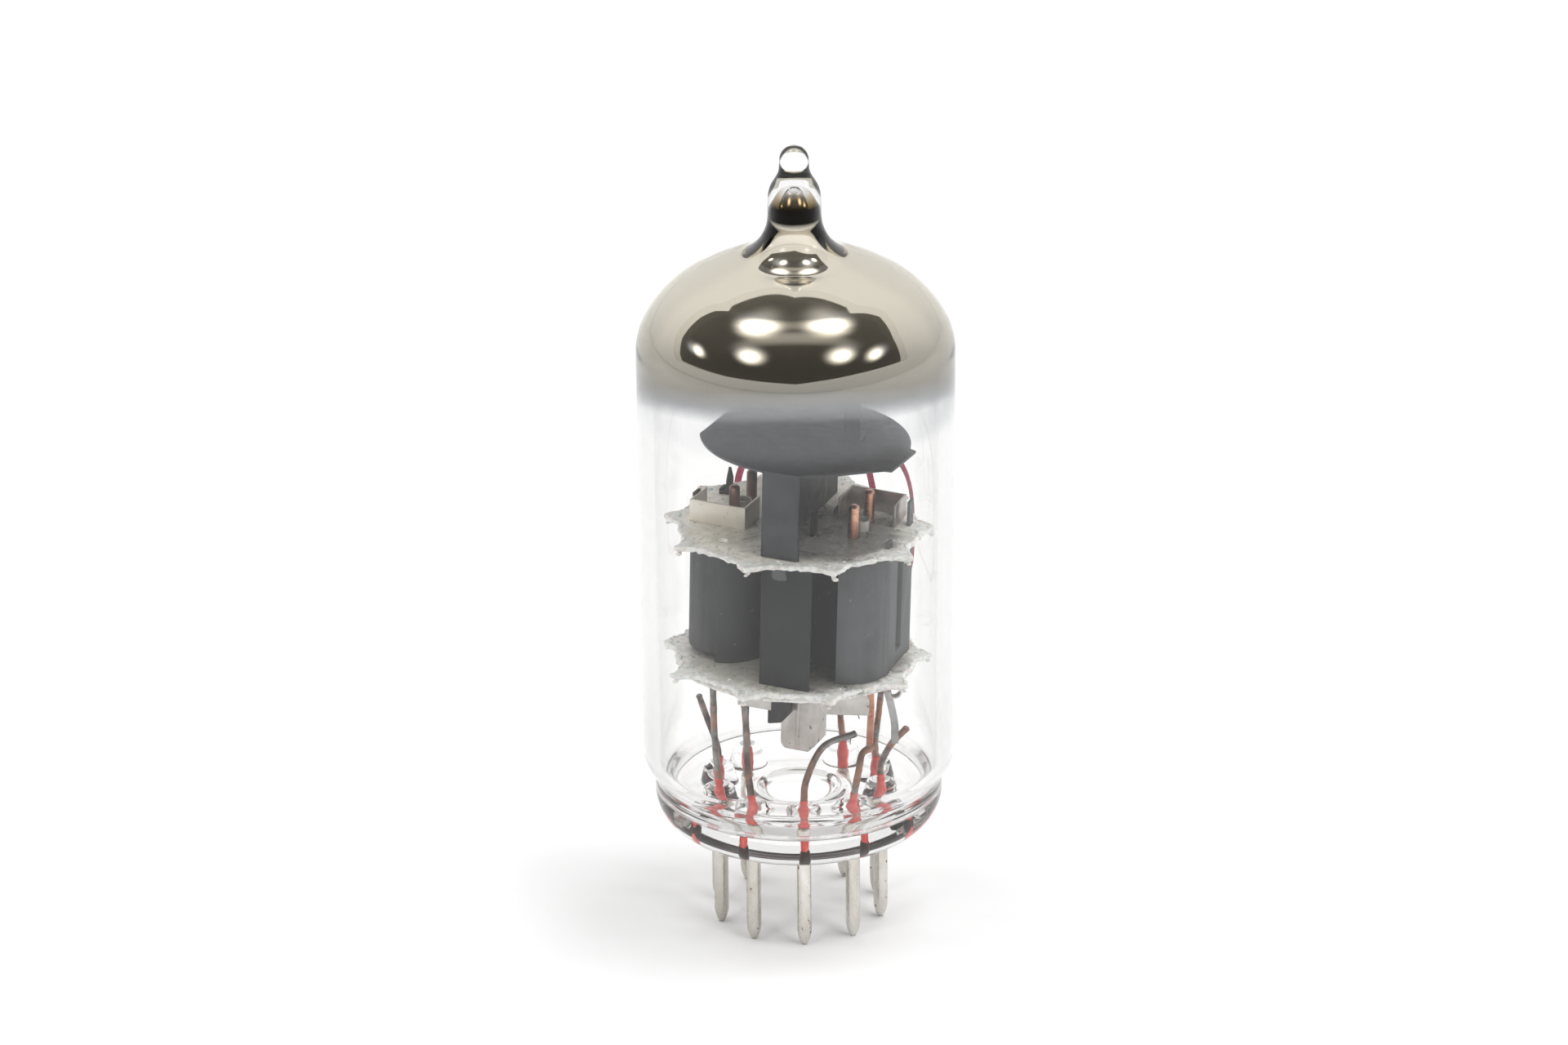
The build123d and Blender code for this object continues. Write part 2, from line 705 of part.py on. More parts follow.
def getter_support():
    """Angle of strip that carries the getter ring on the hood."""
    x0, x1 = across(UPPER_WEB_X + GETTER_RADIUS - GETTER_CHANNEL / 2, GETTER_CHANNEL)
    low = HOOD_TOP + STANDING_GAP
    thickness, foot_length = 0.2, 1.2
    post = block(x0, x1, 0, thickness, low, GETTER_LOW - STANDING_GAP)
    return in_cage(post + block(x0, x1, 0, foot_length, low, low + thickness))


def base_shield():
    """Small box of bright strip hanging below the middle of the cage."""
    x, y = SHIELD_CENTRE
    height = SHIELD_HIGH - SHIELD_LOW
    middle = Pos(x, y, (SHIELD_LOW + SHIELD_HIGH) / 2)
    box = Box(SHIELD_WIDTH, SHIELD_DEPTH, height)
    box = fillet(box.edges().filter_by(Axis.Z), 2 * SHIELD_SHEET)
    box -= Box(SHIELD_WIDTH - 2 * SHIELD_SHEET, SHIELD_DEPTH - 2 * SHIELD_SHEET, height + 2)
    box = middle * box
    for edge in across(x, SHIELD_WIDTH):
        cutter = Box(SHIELD_CORNER, 2 * SHIELD_DEPTH, SHIELD_CORNER)
        box -= Pos(edge, y, SHIELD_LOW) * Rot(0, 45, 0) * cutter
    front = y - SHIELD_DEPTH / 2
    rib = rod(x + SHIELD_RIB_X, front + 0.05, SHIELD_LOW + 0.4, SHIELD_HIGH - 0.3, SHIELD_RIB)
    rib -= block(x - 1, x + 1, front + SHIELD_SHEET, front + 1, SHIELD_LOW, SHIELD_HIGH)
    return in_cage(box + rib)


def screen_foot():
    """Bent foot of strip under the front edge of the lower mica."""
    high = MICA_UNDERSIDE - STANDING_GAP
    return in_cage(block(-1.73, 0.69, -6.65, -6.5, high - 1.6, high))


def lower_strap():
    """Bright strip under the lower mica across the front of the right anode."""
    left, right, high = 3.7, 6.85, MICA_UNDERSIDE - 0.3
    outline = Polyline(
        (left, high - 0.4),
        (left, high - 2.0),
        (right, high - 1.5),
        (right, high - 0.4),
        (right - 0.2, high),
        (left + 0.2, high),
        close=True,
    )
    plate = extrude(Plane.XZ * make_face(outline), amount=STRAP_SHEET)
    return in_cage(Pos(0, -4.2, 0) * plate)


# ---- assembly ---------------------------------------------------------------
save("glass_envelope", glass_envelope())
save("getter_flash", getter_flash())
save("button_stem", button_stem())

for number in range(1, PIN_COUNT + 1):
    save(f"pin_{number}", pin(number))
    save(f"seal_wire_{number}", seal_wire(number))
    save(f"lead_wire_{number}", lead_wire(number))

upper_low = UPPER_MICA - MICA_THICKNESS
lower_low = LOWER_MICA - MICA_THICKNESS
web_middle = WEB_X + SCREEN_SHEET / 2
stem_middle = (STEM_LEFT + STEM_RIGHT) / 2
stem_y = WEB_FRONT + SCREEN_SHEET / 2
tail_middle = (TAIL_FRONT + TAIL_REAR) / 2
stem_slot = slot(stem_middle, stem_y, STEM_RIGHT - STEM_LEFT, SCREEN_SHEET, upper_low)
tail_slot = slot(web_middle, tail_middle, SCREEN_SHEET, TAIL_REAR - TAIL_FRONT, lower_low)
spare_hole = round_hole(*SPARE_HOLE, SPARE_HOLE_RADIUS, upper_low)
upper_holes = cage_holes(upper_low) + web_slots(upper_low) + [stem_slot, spare_hole]
lower_holes = cage_holes(lower_low) + [tail_slot]
backing = Pos(0, 0, MICA_UNDERSIDE) * extrude(Circle(MICA_RADIUS - 0.1), amount=MICA_THICKNESS)
save("upper_mica", pierced(mica_sheet(upper_low, MICA_TIP_RADIUS), upper_holes))
save("lower_mica", pierced(mica_sheet(lower_low, MICA_TIP_RADIUS), lower_holes))
save("lower_mica_backing", pierced(backing, lower_holes))

for name, system in (("left", -1), ("right", 1)):
    save(f"anode_{name}_half_a", anode_half(system, -1))
    save(f"anode_{name}_half_b", anode_half(system, 1))
    save(f"anode_strap_{name}", anode_strap(system))
    save(f"grid_rods_{name}", *grid_rods(system))
    save(f"grid_winding_{name}", *grid_winding(system))
    save(f"cathode_{name}", cathode(system))
    save(f"heater_{name}", heater(system))

save("central_screen", central_screen())
save("upper_screen", upper_screen())
save("getter_shield", getter_shield())
save("getter_ring", getter_ring())
save("getter_support", getter_support())
save("base_shield", base_shield())
save("screen_foot", screen_foot())
save("lower_strap", lower_strap())
save("curled_tab", curled_tab())
save("copper_strap", ribbon(COPPER_ROUTE, COPPER_SECTION))
save("grey_ribbon", ribbon(RIBBON_ROUTE, RIBBON_SECTION))
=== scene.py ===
"""Looks of a nine-pin double triode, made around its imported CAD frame.

Shapes are drawn in millimetres and scaled to metres when a piece is made. Parts
of the electrode cage are drawn in the cage frame: the two triodes stand side by
side along X, and the cage is turned, leaned and shifted into the bulb.
"""

from math import cos, exp, hypot, pi, radians, sin, tau
from random import Random

import bmesh
import bpy
from mathutils import Matrix, Vector, geometry, noise

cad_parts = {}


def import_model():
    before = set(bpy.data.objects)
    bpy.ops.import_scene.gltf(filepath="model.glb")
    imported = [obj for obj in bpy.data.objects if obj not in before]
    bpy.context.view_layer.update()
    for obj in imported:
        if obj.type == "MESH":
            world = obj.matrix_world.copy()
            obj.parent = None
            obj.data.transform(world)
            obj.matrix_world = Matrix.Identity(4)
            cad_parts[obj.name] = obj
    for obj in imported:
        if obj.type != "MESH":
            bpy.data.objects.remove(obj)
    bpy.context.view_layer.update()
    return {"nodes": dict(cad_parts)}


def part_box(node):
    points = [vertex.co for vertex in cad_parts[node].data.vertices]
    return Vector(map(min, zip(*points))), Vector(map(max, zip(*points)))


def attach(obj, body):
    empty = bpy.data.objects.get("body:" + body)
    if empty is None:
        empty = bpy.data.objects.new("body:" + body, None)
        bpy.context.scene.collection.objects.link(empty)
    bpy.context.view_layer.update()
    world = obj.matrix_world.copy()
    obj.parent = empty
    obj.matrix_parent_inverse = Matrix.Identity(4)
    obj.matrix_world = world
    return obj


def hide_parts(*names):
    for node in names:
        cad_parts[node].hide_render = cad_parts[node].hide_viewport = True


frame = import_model()
scene = bpy.context.scene

MM = 0.001
NOISE_SEED = 7
noise.seed_set(NOISE_SEED)  # the vector noise is seeded from the clock otherwise

# ---- camera ----
CAMERA_DISTANCE = 385.1
CAMERA_ELEVATION = 22.186
CAMERA_AZIMUTH = -2.905
CAMERA_ROLL = -0.507
CAMERA_LENS = 127.25
CAMERA_AIM = (-0.894, 29.662)

# ---- glass ----
OVERALL_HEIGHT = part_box("glass_envelope")[1].z / MM
BULB_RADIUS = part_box("glass_envelope")[1].x / MM
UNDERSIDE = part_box("button_stem")[0].z / MM
BULB_WALL = 1.2
BUTTON_RADIUS = 10.15
WELD_HEIGHT = 10.0
WELD_INNER_RADIUS = 8.9
STEP_LOW, STEP_HIGH = 11.2, 12.6
SHOULDER_HEIGHT = 42.5
DOME_ARCS = [(4.6, 30), (8.5, 51), (7.2, 61), (24.0, 70)]  # radius, and where each arc ends in degrees
NECK_RADIUS, NECK_BORE, BORE_TOP, TIP_RADIUS = 1.85, 1.25, 54.2, 1.02
BUTTON_TOP, PEDESTAL_HEIGHT, PEDESTAL_RADIUS = 9.4, 10.95, 1.22
RING_RADIUS, RING_HALF_WIDTH = 3.0, 0.45
BULB_DENSITY, BUTTON_DENSITY = 115.0, 20.0
FILM_SET_IN, FILM_SHEET = 0.02, 0.05
FILM_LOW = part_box("getter_flash")[0].z / MM

# Heights, or how squarely a face is met, over which the look of glass and film changes.
CLEAR_STARTS, CLEAR_ENDS = (12.0, 14.0), (36.0, 40.0)
SOOT_STARTS, SOOT_ENDS = (50.4, 51.2), (53.2, 53.9)
WALL_FACING = (0.44, 0.56)
FILM_SMOKE, FILM_DENSE, FILM_COLOURS = (37.3, 38.8), (38.6, 41.0), (38.2, 47.0)
FILM_SOOT, FILM_SOOT_COLOURS, FILM_END = (50.8, 51.4), (51.2, 54.0), (53.1, 54.1)
MIRROR_COLOUR = (0.8, 0.745, 0.63)
CLEAR_COLOUR, WALL_COLOUR = (0.99, 0.99, 0.99), (0.8, 0.815, 0.81)

# ---- pins ----
PIN_CIRCLE, PIN_RADIUS, PIN_COUNT = 11.89, 0.508, 9
PIN_STEP, FIRST_PIN_ANGLE = 36.0, 126.0
SEAL_RADIUS, SEAL_NECK, SEAL_TOP = 0.27, 10.6, 11.3
BEAD_LOW, BEAD_RADIUS, BEAD_HEIGHT = UNDERSIDE + 0.62, 0.38, 0.75
LEAD_RADIUS, FINE_WIRE_RADIUS = 0.24, 0.035

# ---- cage ----
CAGE_TURN, CAGE_SHIFT, CAGE_LEAN, LEAN_HEIGHT = -25.0, 0.45, 1.7, 25.2
MICA_THICKNESS, MICA_RADIUS, MICA_TIP_RADIUS = 0.3, 8.4, 9.6
MICA_TABS, TAB_HALF_ANGLE = 10, 8.5
SYSTEM_X, WELD_MARK_X = 4.43, 1.4
UPPER_MICA, LOWER_MICA = 29.95, 20.4
MICA_STAIN_CENTRE = (2.2, -2.6, 0.0)


# ---- mesh helpers ----
def lean_matrix():
    """Lean of the cage about a point at its middle, in millimetres."""
    pivot = Matrix.Translation((0, 0, LEAN_HEIGHT))
    return pivot @ Matrix.Rotation(radians(CAGE_LEAN), 4, "Y") @ pivot.inverted()


DISC = lean_matrix() @ Matrix.Rotation(radians(CAGE_TURN), 4, "Z")
CAGE = DISC @ Matrix.Translation((0, CAGE_SHIFT, 0))


def cage_box(node):
    """Lowest and highest corner of a CAD node in the cage frame, in millimetres."""
    back = CAGE.inverted()
    points = [back @ (v.co / MM) for v in frame["nodes"][node].data.vertices]
    low = Vector(min(p[axis] for p in points) for axis in range(3))
    high = Vector(max(p[axis] for p in points) for axis in range(3))
    return low, high


def add_piece(name, bm, material, replaces=(), place=None, sharp=38):
    """Make a piece of a bmesh drawn in millimetres; it rides on the tube."""
    if place is not None:
        bmesh.ops.transform(bm, matrix=place, verts=bm.verts)
    bmesh.ops.recalc_face_normals(bm, faces=bm.faces)
    bmesh.ops.scale(bm, vec=(MM, MM, MM), verts=bm.verts)
    mesh = bpy.data.meshes.new(name)
    bm.to_mesh(mesh)
    bm.free()
    mesh.materials.append(material)
    mesh.shade_smooth()
    mesh.set_sharp_from_angle(angle=radians(sharp))
    piece = bpy.data.objects.new(name, mesh)
    scene.collection.objects.link(piece)
    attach(piece, "root")
    if replaces:
        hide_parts(*replaces)
    return piece


def arc(centre, radius, start, end, steps):
    """Points of an arc in degrees about a centre in the (radius, height) plane."""
    points = []
    for k in range(steps + 1):
        angle = radians(start + (end - start) * k / steps)
        points.append((centre[0] + radius * cos(angle), centre[1] + radius * sin(angle)))
    return points


def rounded(points, radius, steps=5):
    """Polyline with every inner corner rounded by a short curve."""
    corners = [Vector(p) for p in points]
    out = [tuple(corners[0])]
    for before, corner, after in zip(corners, corners[1:], corners[2:]):
        back, ahead = before - corner, after - corner
        reach = min(radius, 0.45 * back.length, 0.45 * ahead.length)
        start, end = corner + back.normalized() * reach, corner + ahead.normalized() * reach
        for k in range(steps + 1):
            t = k / steps
            out.append(tuple(start.lerp(corner, t).lerp(corner.lerp(end, t), t)))
    return out + [tuple(corners[-1])]


def bridge(bm, rows):
    """Faces between each closed row of vertices and the next."""
    for low, high in zip(rows, rows[1:]):
        for k in range(len(low)):
            j = (k + 1) % len(low)
            bm.faces.new((low[k], low[j], high[j], high[k]))


def turned(profile, segments, lift=None, closed=True):
    """Surface of revolution of a (radius, height) profile; lift moves points up."""
    bm = bmesh.new()
    rings = []
    for radius, height in profile:
        count = 1 if radius < 1e-6 else segments
        ring = []
        for k in range(count):
            angle = tau * k / segments
            x, y = radius * cos(angle), radius * sin(angle)
            z = height if lift is None else lift(x, y, height)
            ring.append(bm.verts.new((x, y, z)))
        rings.append(ring)
    following = rings[1:] + rings[:1] if closed else rings[1:]
    for low, high in zip(rings, following):
        if len(low) == 1 and len(high) == 1:
            continue
        for k in range(segments):
            j = (k + 1) % segments
            if len(low) == 1:
                bm.faces.new((low[0], high[j], high[k]))
            elif len(high) == 1:
                bm.faces.new((low[k], low[j], high[0]))
            else:
                bm.faces.new((low[k], low[j], high[j], high[k]))
    return bm


def flowing(corners, per_run=8):
    """Smooth line through its corners, and how far along the corners each point is."""
    points = [Vector(c) for c in corners]
    first, last = 2 * points[0] - points[1], 2 * points[-1] - points[-2]
    padded = [first] + points + [last]
    line, along = [], []
    for run in range(len(points) - 1):
        a, b, c, d = padded[run : run + 4]
        for k in range(per_run):
            t = k / per_run
            line.append(
                0.5 * (2 * b + (c - a) * t + (2 * a - 5 * b + 4 * c - d) * t**2
                       + (3 * b - a - 3 * c + d) * t**3)
            )
            along.append(run + t)
    return line + [points[-1]], along + [len(points) - 1]


def between(values, place):
    """Value at a fractional place in a list."""
    low = min(int(place), len(values) - 2)
    return values[low] + (values[low + 1] - values[low]) * (place - low)


def frames_along(line):
    """Two directions across a line at each of its points, without twist."""
    across = Vector((1, 0, 0))
    frames = []
    for k, point in enumerate(line):
        ahead = line[min(k + 1, len(line) - 1)] - line[max(k - 1, 0)]
        ahead.normalize()
        across = (across - ahead * across.dot(ahead)).normalized()
        frames.append((across.copy(), ahead.cross(across)))
    return frames


def swept(bm, line, sections):
    """Skin of closed sections, one for each point of a line, with flat ends."""
    rings = []
    for point, (u, v), section in zip(line, frames_along(line), sections):
        rings.append([bm.verts.new(point + u * a + v * b) for a, b in section])
    bridge(bm, rings)
    bm.faces.new(reversed(rings[0]))
    bm.faces.new(rings[-1])
    return bm


def round_section(radius, sides):
    """Round section of a wire."""
    return [(radius * cos(tau * k / sides), radius * sin(tau * k / sides)) for k in range(sides)]


def wire(bm, corners, radii, per_run=8, sides=14, uneven=0.0):
    """Round wire through its corners, with a radius at each corner and soft ends."""
    line, along = flowing(corners, per_run)
    radius = []
    for point, place in zip(line, along):
        wobble = 1 + uneven * noise.noise(point * 2.1)
        radius.append(between(radii, place) * wobble)
    start = line[0] - (line[1] - line[0]).normalized() * 0.3 * radius[0]
    end = line[-1] + (line[-1] - line[-2]).normalized() * 0.3 * radius[-1]
    line = [start] + line + [end]
    radius = [0.72 * radius[0]] + radius + [0.72 * radius[-1]]
    return swept(bm, line, [round_section(r, sides) for r in radius])


def flat_strip(bm, corners, width, thickness):
    """Strip with eased edges through its corners."""
    line, _ = flowing(corners)
    w, t, ease = width / 2, thickness / 2, 0.3 * thickness
    section = [(-w, -t + ease), (-w + ease, -t), (w - ease, -t), (w, -t + ease)]
    section += [(w, t - ease), (w - ease, t), (-w + ease, t), (-w, t - ease)]
    return swept(bm, line, [section] * len(line))


def crumb(bm, place, size, seed, stretch=(1, 1, 1)):
    """Small irregular lump."""
    made = bmesh.ops.create_icosphere(bm, subdivisions=2, radius=size)
    shift = Vector((seed * 1.7, seed * 0.9, seed * 2.3))
    for vert in made["verts"]:
        swell = 1 + 0.55 * noise.noise(vert.co / size * 1.1 + shift)
        vert.co = Vector(c * s * swell for c, s in zip(vert.co, stretch)) + Vector(place)


def dressed(name, node, material, bevel=0.035, shape=None):
    """CAD part redrawn with clean faces and eased edges, and shaped in the cage frame."""
    bm = bmesh.new()
    bm.from_mesh(frame["nodes"][node].data)
    bmesh.ops.scale(bm, vec=(1 / MM, 1 / MM, 1 / MM), verts=bm.verts)
    bmesh.ops.remove_doubles(bm, verts=bm.verts, dist=0.0008)
    edges = list(bm.edges)
    bmesh.ops.dissolve_limit(bm, angle_limit=radians(0.6), verts=bm.verts, edges=edges)
    keen = [e for e in bm.edges if len(e.link_faces) == 2 and e.calc_face_angle() > radians(35)]
    bmesh.ops.bevel(
        bm, geom=keen, offset=bevel, segments=2, profile=0.5, affect="EDGES", clamp_overlap=True
    )
    if shape is not None:
        bmesh.ops.transform(bm, matrix=CAGE.inverted(), verts=bm.verts)
        for vert in bm.verts:
            shape(vert.co)
        bmesh.ops.transform(bm, matrix=CAGE, verts=bm.verts)
    return add_piece(name, bm, material, (node,), sharp=50)


# ---- materials ----
class Look:
    """One procedural material: a Principled shader and the nodes that feed it."""

    def __init__(self, name, **sockets):
        self.material = bpy.data.materials.new(name)
        self.material.use_nodes = True
        self.tree = self.material.node_tree
        self.shader = self.tree.nodes["Principled BSDF"]
        self.output = self.tree.nodes["Material Output"]
        self.place = self.node("ShaderNodeTexCoord").outputs["Object"]
        for socket, value in sockets.items():
            self.shader.inputs[socket.replace("_", " ")].default_value = value

    def node(self, kind, **settings):
        made = self.tree.nodes.new(kind)
        for key, value in settings.items():
            setattr(made, key, value)
        return made

    def link(self, source, target):
        self.tree.links.new(source, target)

    def scaled(self, scale, stretch=(1, 1, 1)):
        """Position on the object, in millimetres times scale."""
        mapping = self.node("ShaderNodeMapping")
        mapping.inputs["Scale"].default_value = [scale * s / MM for s in stretch]
        self.link(self.place, mapping.inputs["Vector"])
        return mapping.outputs["Vector"]

    def noise(self, scale, detail=4.0, rough=0.55, stretch=(1, 1, 1), warp=0.0):
        made = self.node("ShaderNodeTexNoise")
        made.inputs["Scale"].default_value = 1.0
        made.inputs["Detail"].default_value = detail
        made.inputs["Roughness"].default_value = rough
        made.inputs["Distortion"].default_value = warp
        self.link(self.scaled(scale, stretch), made.inputs["Vector"])
        return made.outputs["Fac"]

    def cells(self, scale):
        made = self.node("ShaderNodeTexVoronoi")
        made.inputs["Scale"].default_value = 1.0
        self.link(self.scaled(scale), made.inputs["Vector"])
        return made.outputs["Distance"]

    def ramp(self, source, stops):
        """Colours or greys along a value; stops are (place, colour or grey)."""
        made = self.node("ShaderNodeValToRGB")
        ramp = made.color_ramp
        while len(ramp.elements) < len(stops):
            ramp.elements.new(0.5)
        for element, (place, colour) in zip(ramp.elements, stops):
            if isinstance(colour, (int, float)):
                colour = (colour,) * 3
            element.position = place
            element.color = (*colour, 1)
        self.link(source, made.inputs["Fac"])
        return made.outputs["Color"]

    def range(self, source, low, high, to_low=0.0, to_high=1.0):
        made = self.node("ShaderNodeMapRange", interpolation_type="SMOOTHSTEP")
        limits = {"From Min": low, "From Max": high, "To Min": to_low, "To Max": to_high}
        for socket, value in limits.items():
            made.inputs[socket].default_value = value
        self.link(source, made.inputs["Value"])
        return made.outputs["Result"]

    def distance(self, centre, stretch=(1, 1, 0), unit=MM):
        """Distance from a point in plan, in millimetres unless told otherwise."""
        mapping = self.node("ShaderNodeMapping")
        mapping.inputs["Scale"].default_value = [c / unit for c in stretch]
        mapping.inputs["Location"].default_value = [-c for c in centre]
        self.link(self.place, mapping.inputs["Vector"])
        length = self.node("ShaderNodeVectorMath", operation="LENGTH")
        self.link(mapping.outputs["Vector"], length.inputs[0])
        return length.outputs["Value"]

    def along(self, axis):
        """Position along an axis in millimetres."""
        split = self.node("ShaderNodeSeparateXYZ")
        self.link(self.scaled(1.0), split.inputs["Vector"])
        return split.outputs[axis]

    def height(self):
        """Height above the ground in millimetres."""
        return self.along("Z")

    def math(self, operation, a, b):
        made = self.node("ShaderNodeMath", operation=operation)
        for socket, value in zip(made.inputs, (a, b)):
            if isinstance(value, (int, float)):
                socket.default_value = value
            else:
                self.link(value, socket)
        return made.outputs["Value"]

    def mean(self, a, b):
        """Average of two values."""
        return self.math("ADD", self.math("MULTIPLY", a, 0.5), self.math("MULTIPLY", b, 0.5))

    def mix(self, factor, a, b):
        """Blend of two colours, each a tuple or a socket, by the factor's socket."""
        made = self.node("ShaderNodeMix", data_type="RGBA")
        self.link(factor, made.inputs[0])
        for socket, value in ((made.inputs[6], a), (made.inputs[7], b)):
            if isinstance(value, tuple):
                socket.default_value = (*value, 1)
            else:
                self.link(value, socket)
        return made.outputs[2]

    def bump(self, source, strength, depth):
        """Relief, its depth in millimetres."""
        made = self.node("ShaderNodeBump")
        made.inputs["Strength"].default_value = strength
        made.inputs["Distance"].default_value = depth * MM
        self.link(source, made.inputs["Height"])
        self.link(made.outputs["Normal"], self.shader.inputs["Normal"])

    def colour(self, source):
        self.link(source, self.shader.inputs["Base Color"])

    def roughness(self, source):
        self.link(source, self.shader.inputs["Roughness"])

    def let_light_through(self):
        """Lamps and scattered light pass straight, so what is inside is lit."""
        path = self.node("ShaderNodeLightPath")
        either = self.math("MAXIMUM", path.outputs["Is Shadow Ray"], path.outputs["Is Diffuse Ray"])
        clear = self.node("ShaderNodeBsdfTransparent")
        mixed = self.node("ShaderNodeMixShader")
        self.link(either, mixed.inputs[0])
        self.link(self.shader.outputs[0], mixed.inputs[1])
        self.link(clear.outputs[0], mixed.inputs[2])
        self.link(mixed.outputs[0], self.output.inputs["Surface"])


def glass_look(name, veil, density):
    """Clear glass, faintly grey where it is looked through at length.

    A veil below 1 lowers the gloss of the clear part of the bulb and of the neck
    round the soot, so neither hazes what is behind it.
    """
    look = Look(name, Roughness=0.0, IOR=1.5, Transmission_Weight=1.0)
    look.shader.inputs["Base Color"].default_value = (*CLEAR_COLOUR, 1)
    if veil < 1:
        facing = look.node("ShaderNodeLayerWeight").outputs["Facing"]
        look.colour(look.mix(look.range(facing, *WALL_FACING), CLEAR_COLOUR, WALL_COLOUR))
        height = look.height()
        rise = look.range(height, *CLEAR_ENDS, veil, 1.0)
        drop = look.range(height, *CLEAR_STARTS, 1.0, veil)
        soot_fall = look.range(height, *SOOT_STARTS, 1.0, 0.3 * veil)
        soot_rise = look.range(height, *SOOT_ENDS)
        below = look.math("MINIMUM", look.math("MAXIMUM", rise, drop), soot_fall)
        look.link(look.math("MAXIMUM", below, soot_rise), look.shader.inputs["Specular Tint"])
    look.let_light_through()
    tint = look.node("ShaderNodeVolumeAbsorption")
    tint.inputs["Color"].default_value = (0.5, 0.5, 0.47, 1)
    tint.inputs["Density"].default_value = density
    look.link(tint.outputs["Volume"], look.output.inputs["Volume"])
    return look.material


def film_look():
    """Evaporated getter metal: a mirror that thins out to smoke at its edges."""
    look = Look("getter_film", Metallic=1.0, Roughness=0.03)
    height = look.height()
    level = look.math("ADD", height, look.math("MULTIPLY", look.along("Y"), 0.24))
    level = look.math("ADD", level, look.math("MULTIPLY", look.noise(0.13, detail=2.0), 0.9))
    smoke, thin, thick = (0.42, 0.45, 0.49), (0.36, 0.37, 0.38), (0.29, 0.275, 0.24)
    stops = [(0.0, smoke), (0.12, thin), (0.28, thick), (0.6, (0.42, 0.39, 0.33)), (1.0, MIRROR_COLOUR)]
    metal = look.ramp(look.range(level, *FILM_COLOURS), stops)
    black, brown, gold = (0.004, 0.003, 0.003), (0.006, 0.004, 0.003), (0.42, 0.3, 0.14)
    stops = [(0.0, MIRROR_COLOUR), (0.2, black), (0.66, brown), (0.95, gold)]
    soot = look.ramp(look.range(height, *FILM_SOOT_COLOURS), stops)
    look.colour(look.mix(look.range(height, *FILM_SOOT), metal, soot))
    dense = look.range(level, *FILM_DENSE)
    fainter = look.range(look.along("X"), 5.5, 10.0, 0.08, 0.26)
    haze = look.math("MULTIPLY", look.range(height, *FILM_SMOKE), fainter)
    tip = look.range(height, *FILM_END, 1.0, 0.0)
    look.link(look.math("MULTIPLY", look.math("MAXIMUM", dense, haze), tip), look.shader.inputs["Alpha"])
    return look.material


def metal_look(
    name, dark, light, scale, metallic=1.0, rough=(0.3, 0.5), stretch=(1, 1, 1),
    specks=None, speck_scale=2.2, relief=0.02, specular=0.5,
):
    """Sheet or wire metal with stains, a fine grain and sparse specks."""
    look = Look(name, Metallic=metallic, Specular_IOR_Level=specular)
    stain = look.noise(scale, detail=5.0, stretch=stretch, warp=0.6)
    colour = look.ramp(stain, [(0.32, dark), (0.68, light)])
    if specks is not None:
        dots = look.ramp(look.noise(speck_scale, detail=2.0, rough=0.7), [(0.66, 0.0), (0.72, 1.0)])
        colour = look.mix(dots, colour, specks)
    look.colour(colour)
    grain = look.noise(scale * 5, detail=3.0, stretch=stretch)
    look.roughness(look.range(grain, 0.3, 0.7, *rough))
    look.bump(grain, 0.4, relief)
    return look.material


def mica_look(name, shade):
    """Cloudy mica, dark with evaporated metal inside and frosted at the rim.

    A shade below 1 darkens the sheet between the stain and the rim.
    """
    look = Look(name, Specular_IOR_Level=0.5)
    cloud = look.noise(0.35, detail=6.0, rough=0.62, warp=1.2)
    grain = look.noise(1.6, detail=5.0, rough=0.65)
    stained = look.distance(MICA_STAIN_CENTRE)
    reach = look.math("ADD", stained, look.math("MULTIPLY", cloud, 3.0))
    rim = look.math("ADD", look.distance((0.0, 0.0, 0.0)), look.math("MULTIPLY", cloud, 3.0))
    tone = look.mean(cloud, grain)
    inner = look.ramp(tone, [(0.38, (0.085, 0.082, 0.075)), (0.56, (0.24, 0.23, 0.21))])
    tan, cream = [tuple(shade * c for c in colour) for colour in ((0.66, 0.63, 0.54), (1.0, 0.97, 0.87))]
    outer = look.ramp(tone, [(0.36, tan), (0.6, cream)])
    frosted = look.ramp(grain, [(0.35, (0.62, 0.6, 0.55)), (0.6, (0.86, 0.85, 0.82))])
    sheet = look.mix(look.range(reach, 5.2, 7.8), inner, outer)
    sheet = look.mix(look.range(rim, 8.8, 9.9), sheet, frosted)
    flakes = look.cells(1.4)
    dirt = look.ramp(look.noise(2.6, detail=2.0, rough=0.7), [(0.64, 0.0), (0.7, 0.75)])
    look.colour(look.mix(dirt, sheet, (0.1, 0.085, 0.07)))
    look.roughness(look.range(cloud, 0.3, 0.7, 0.22, 0.5))
    look.bump(look.math("ADD", grain, flakes), 0.6, 0.06)
    return look.material


def frost_look():
    """White crumbly magnesia."""
    look = Look("magnesia_frost", Roughness=0.85, Subsurface_Weight=0.35, Subsurface_Scale=0.4 * MM)
    grain = look.noise(3.0, detail=4.0)
    look.colour(look.ramp(grain, [(0.3, (0.62, 0.6, 0.55)), (0.58, (0.88, 0.87, 0.85))]))
    look.bump(grain, 0.9, 0.1)
    return look.material


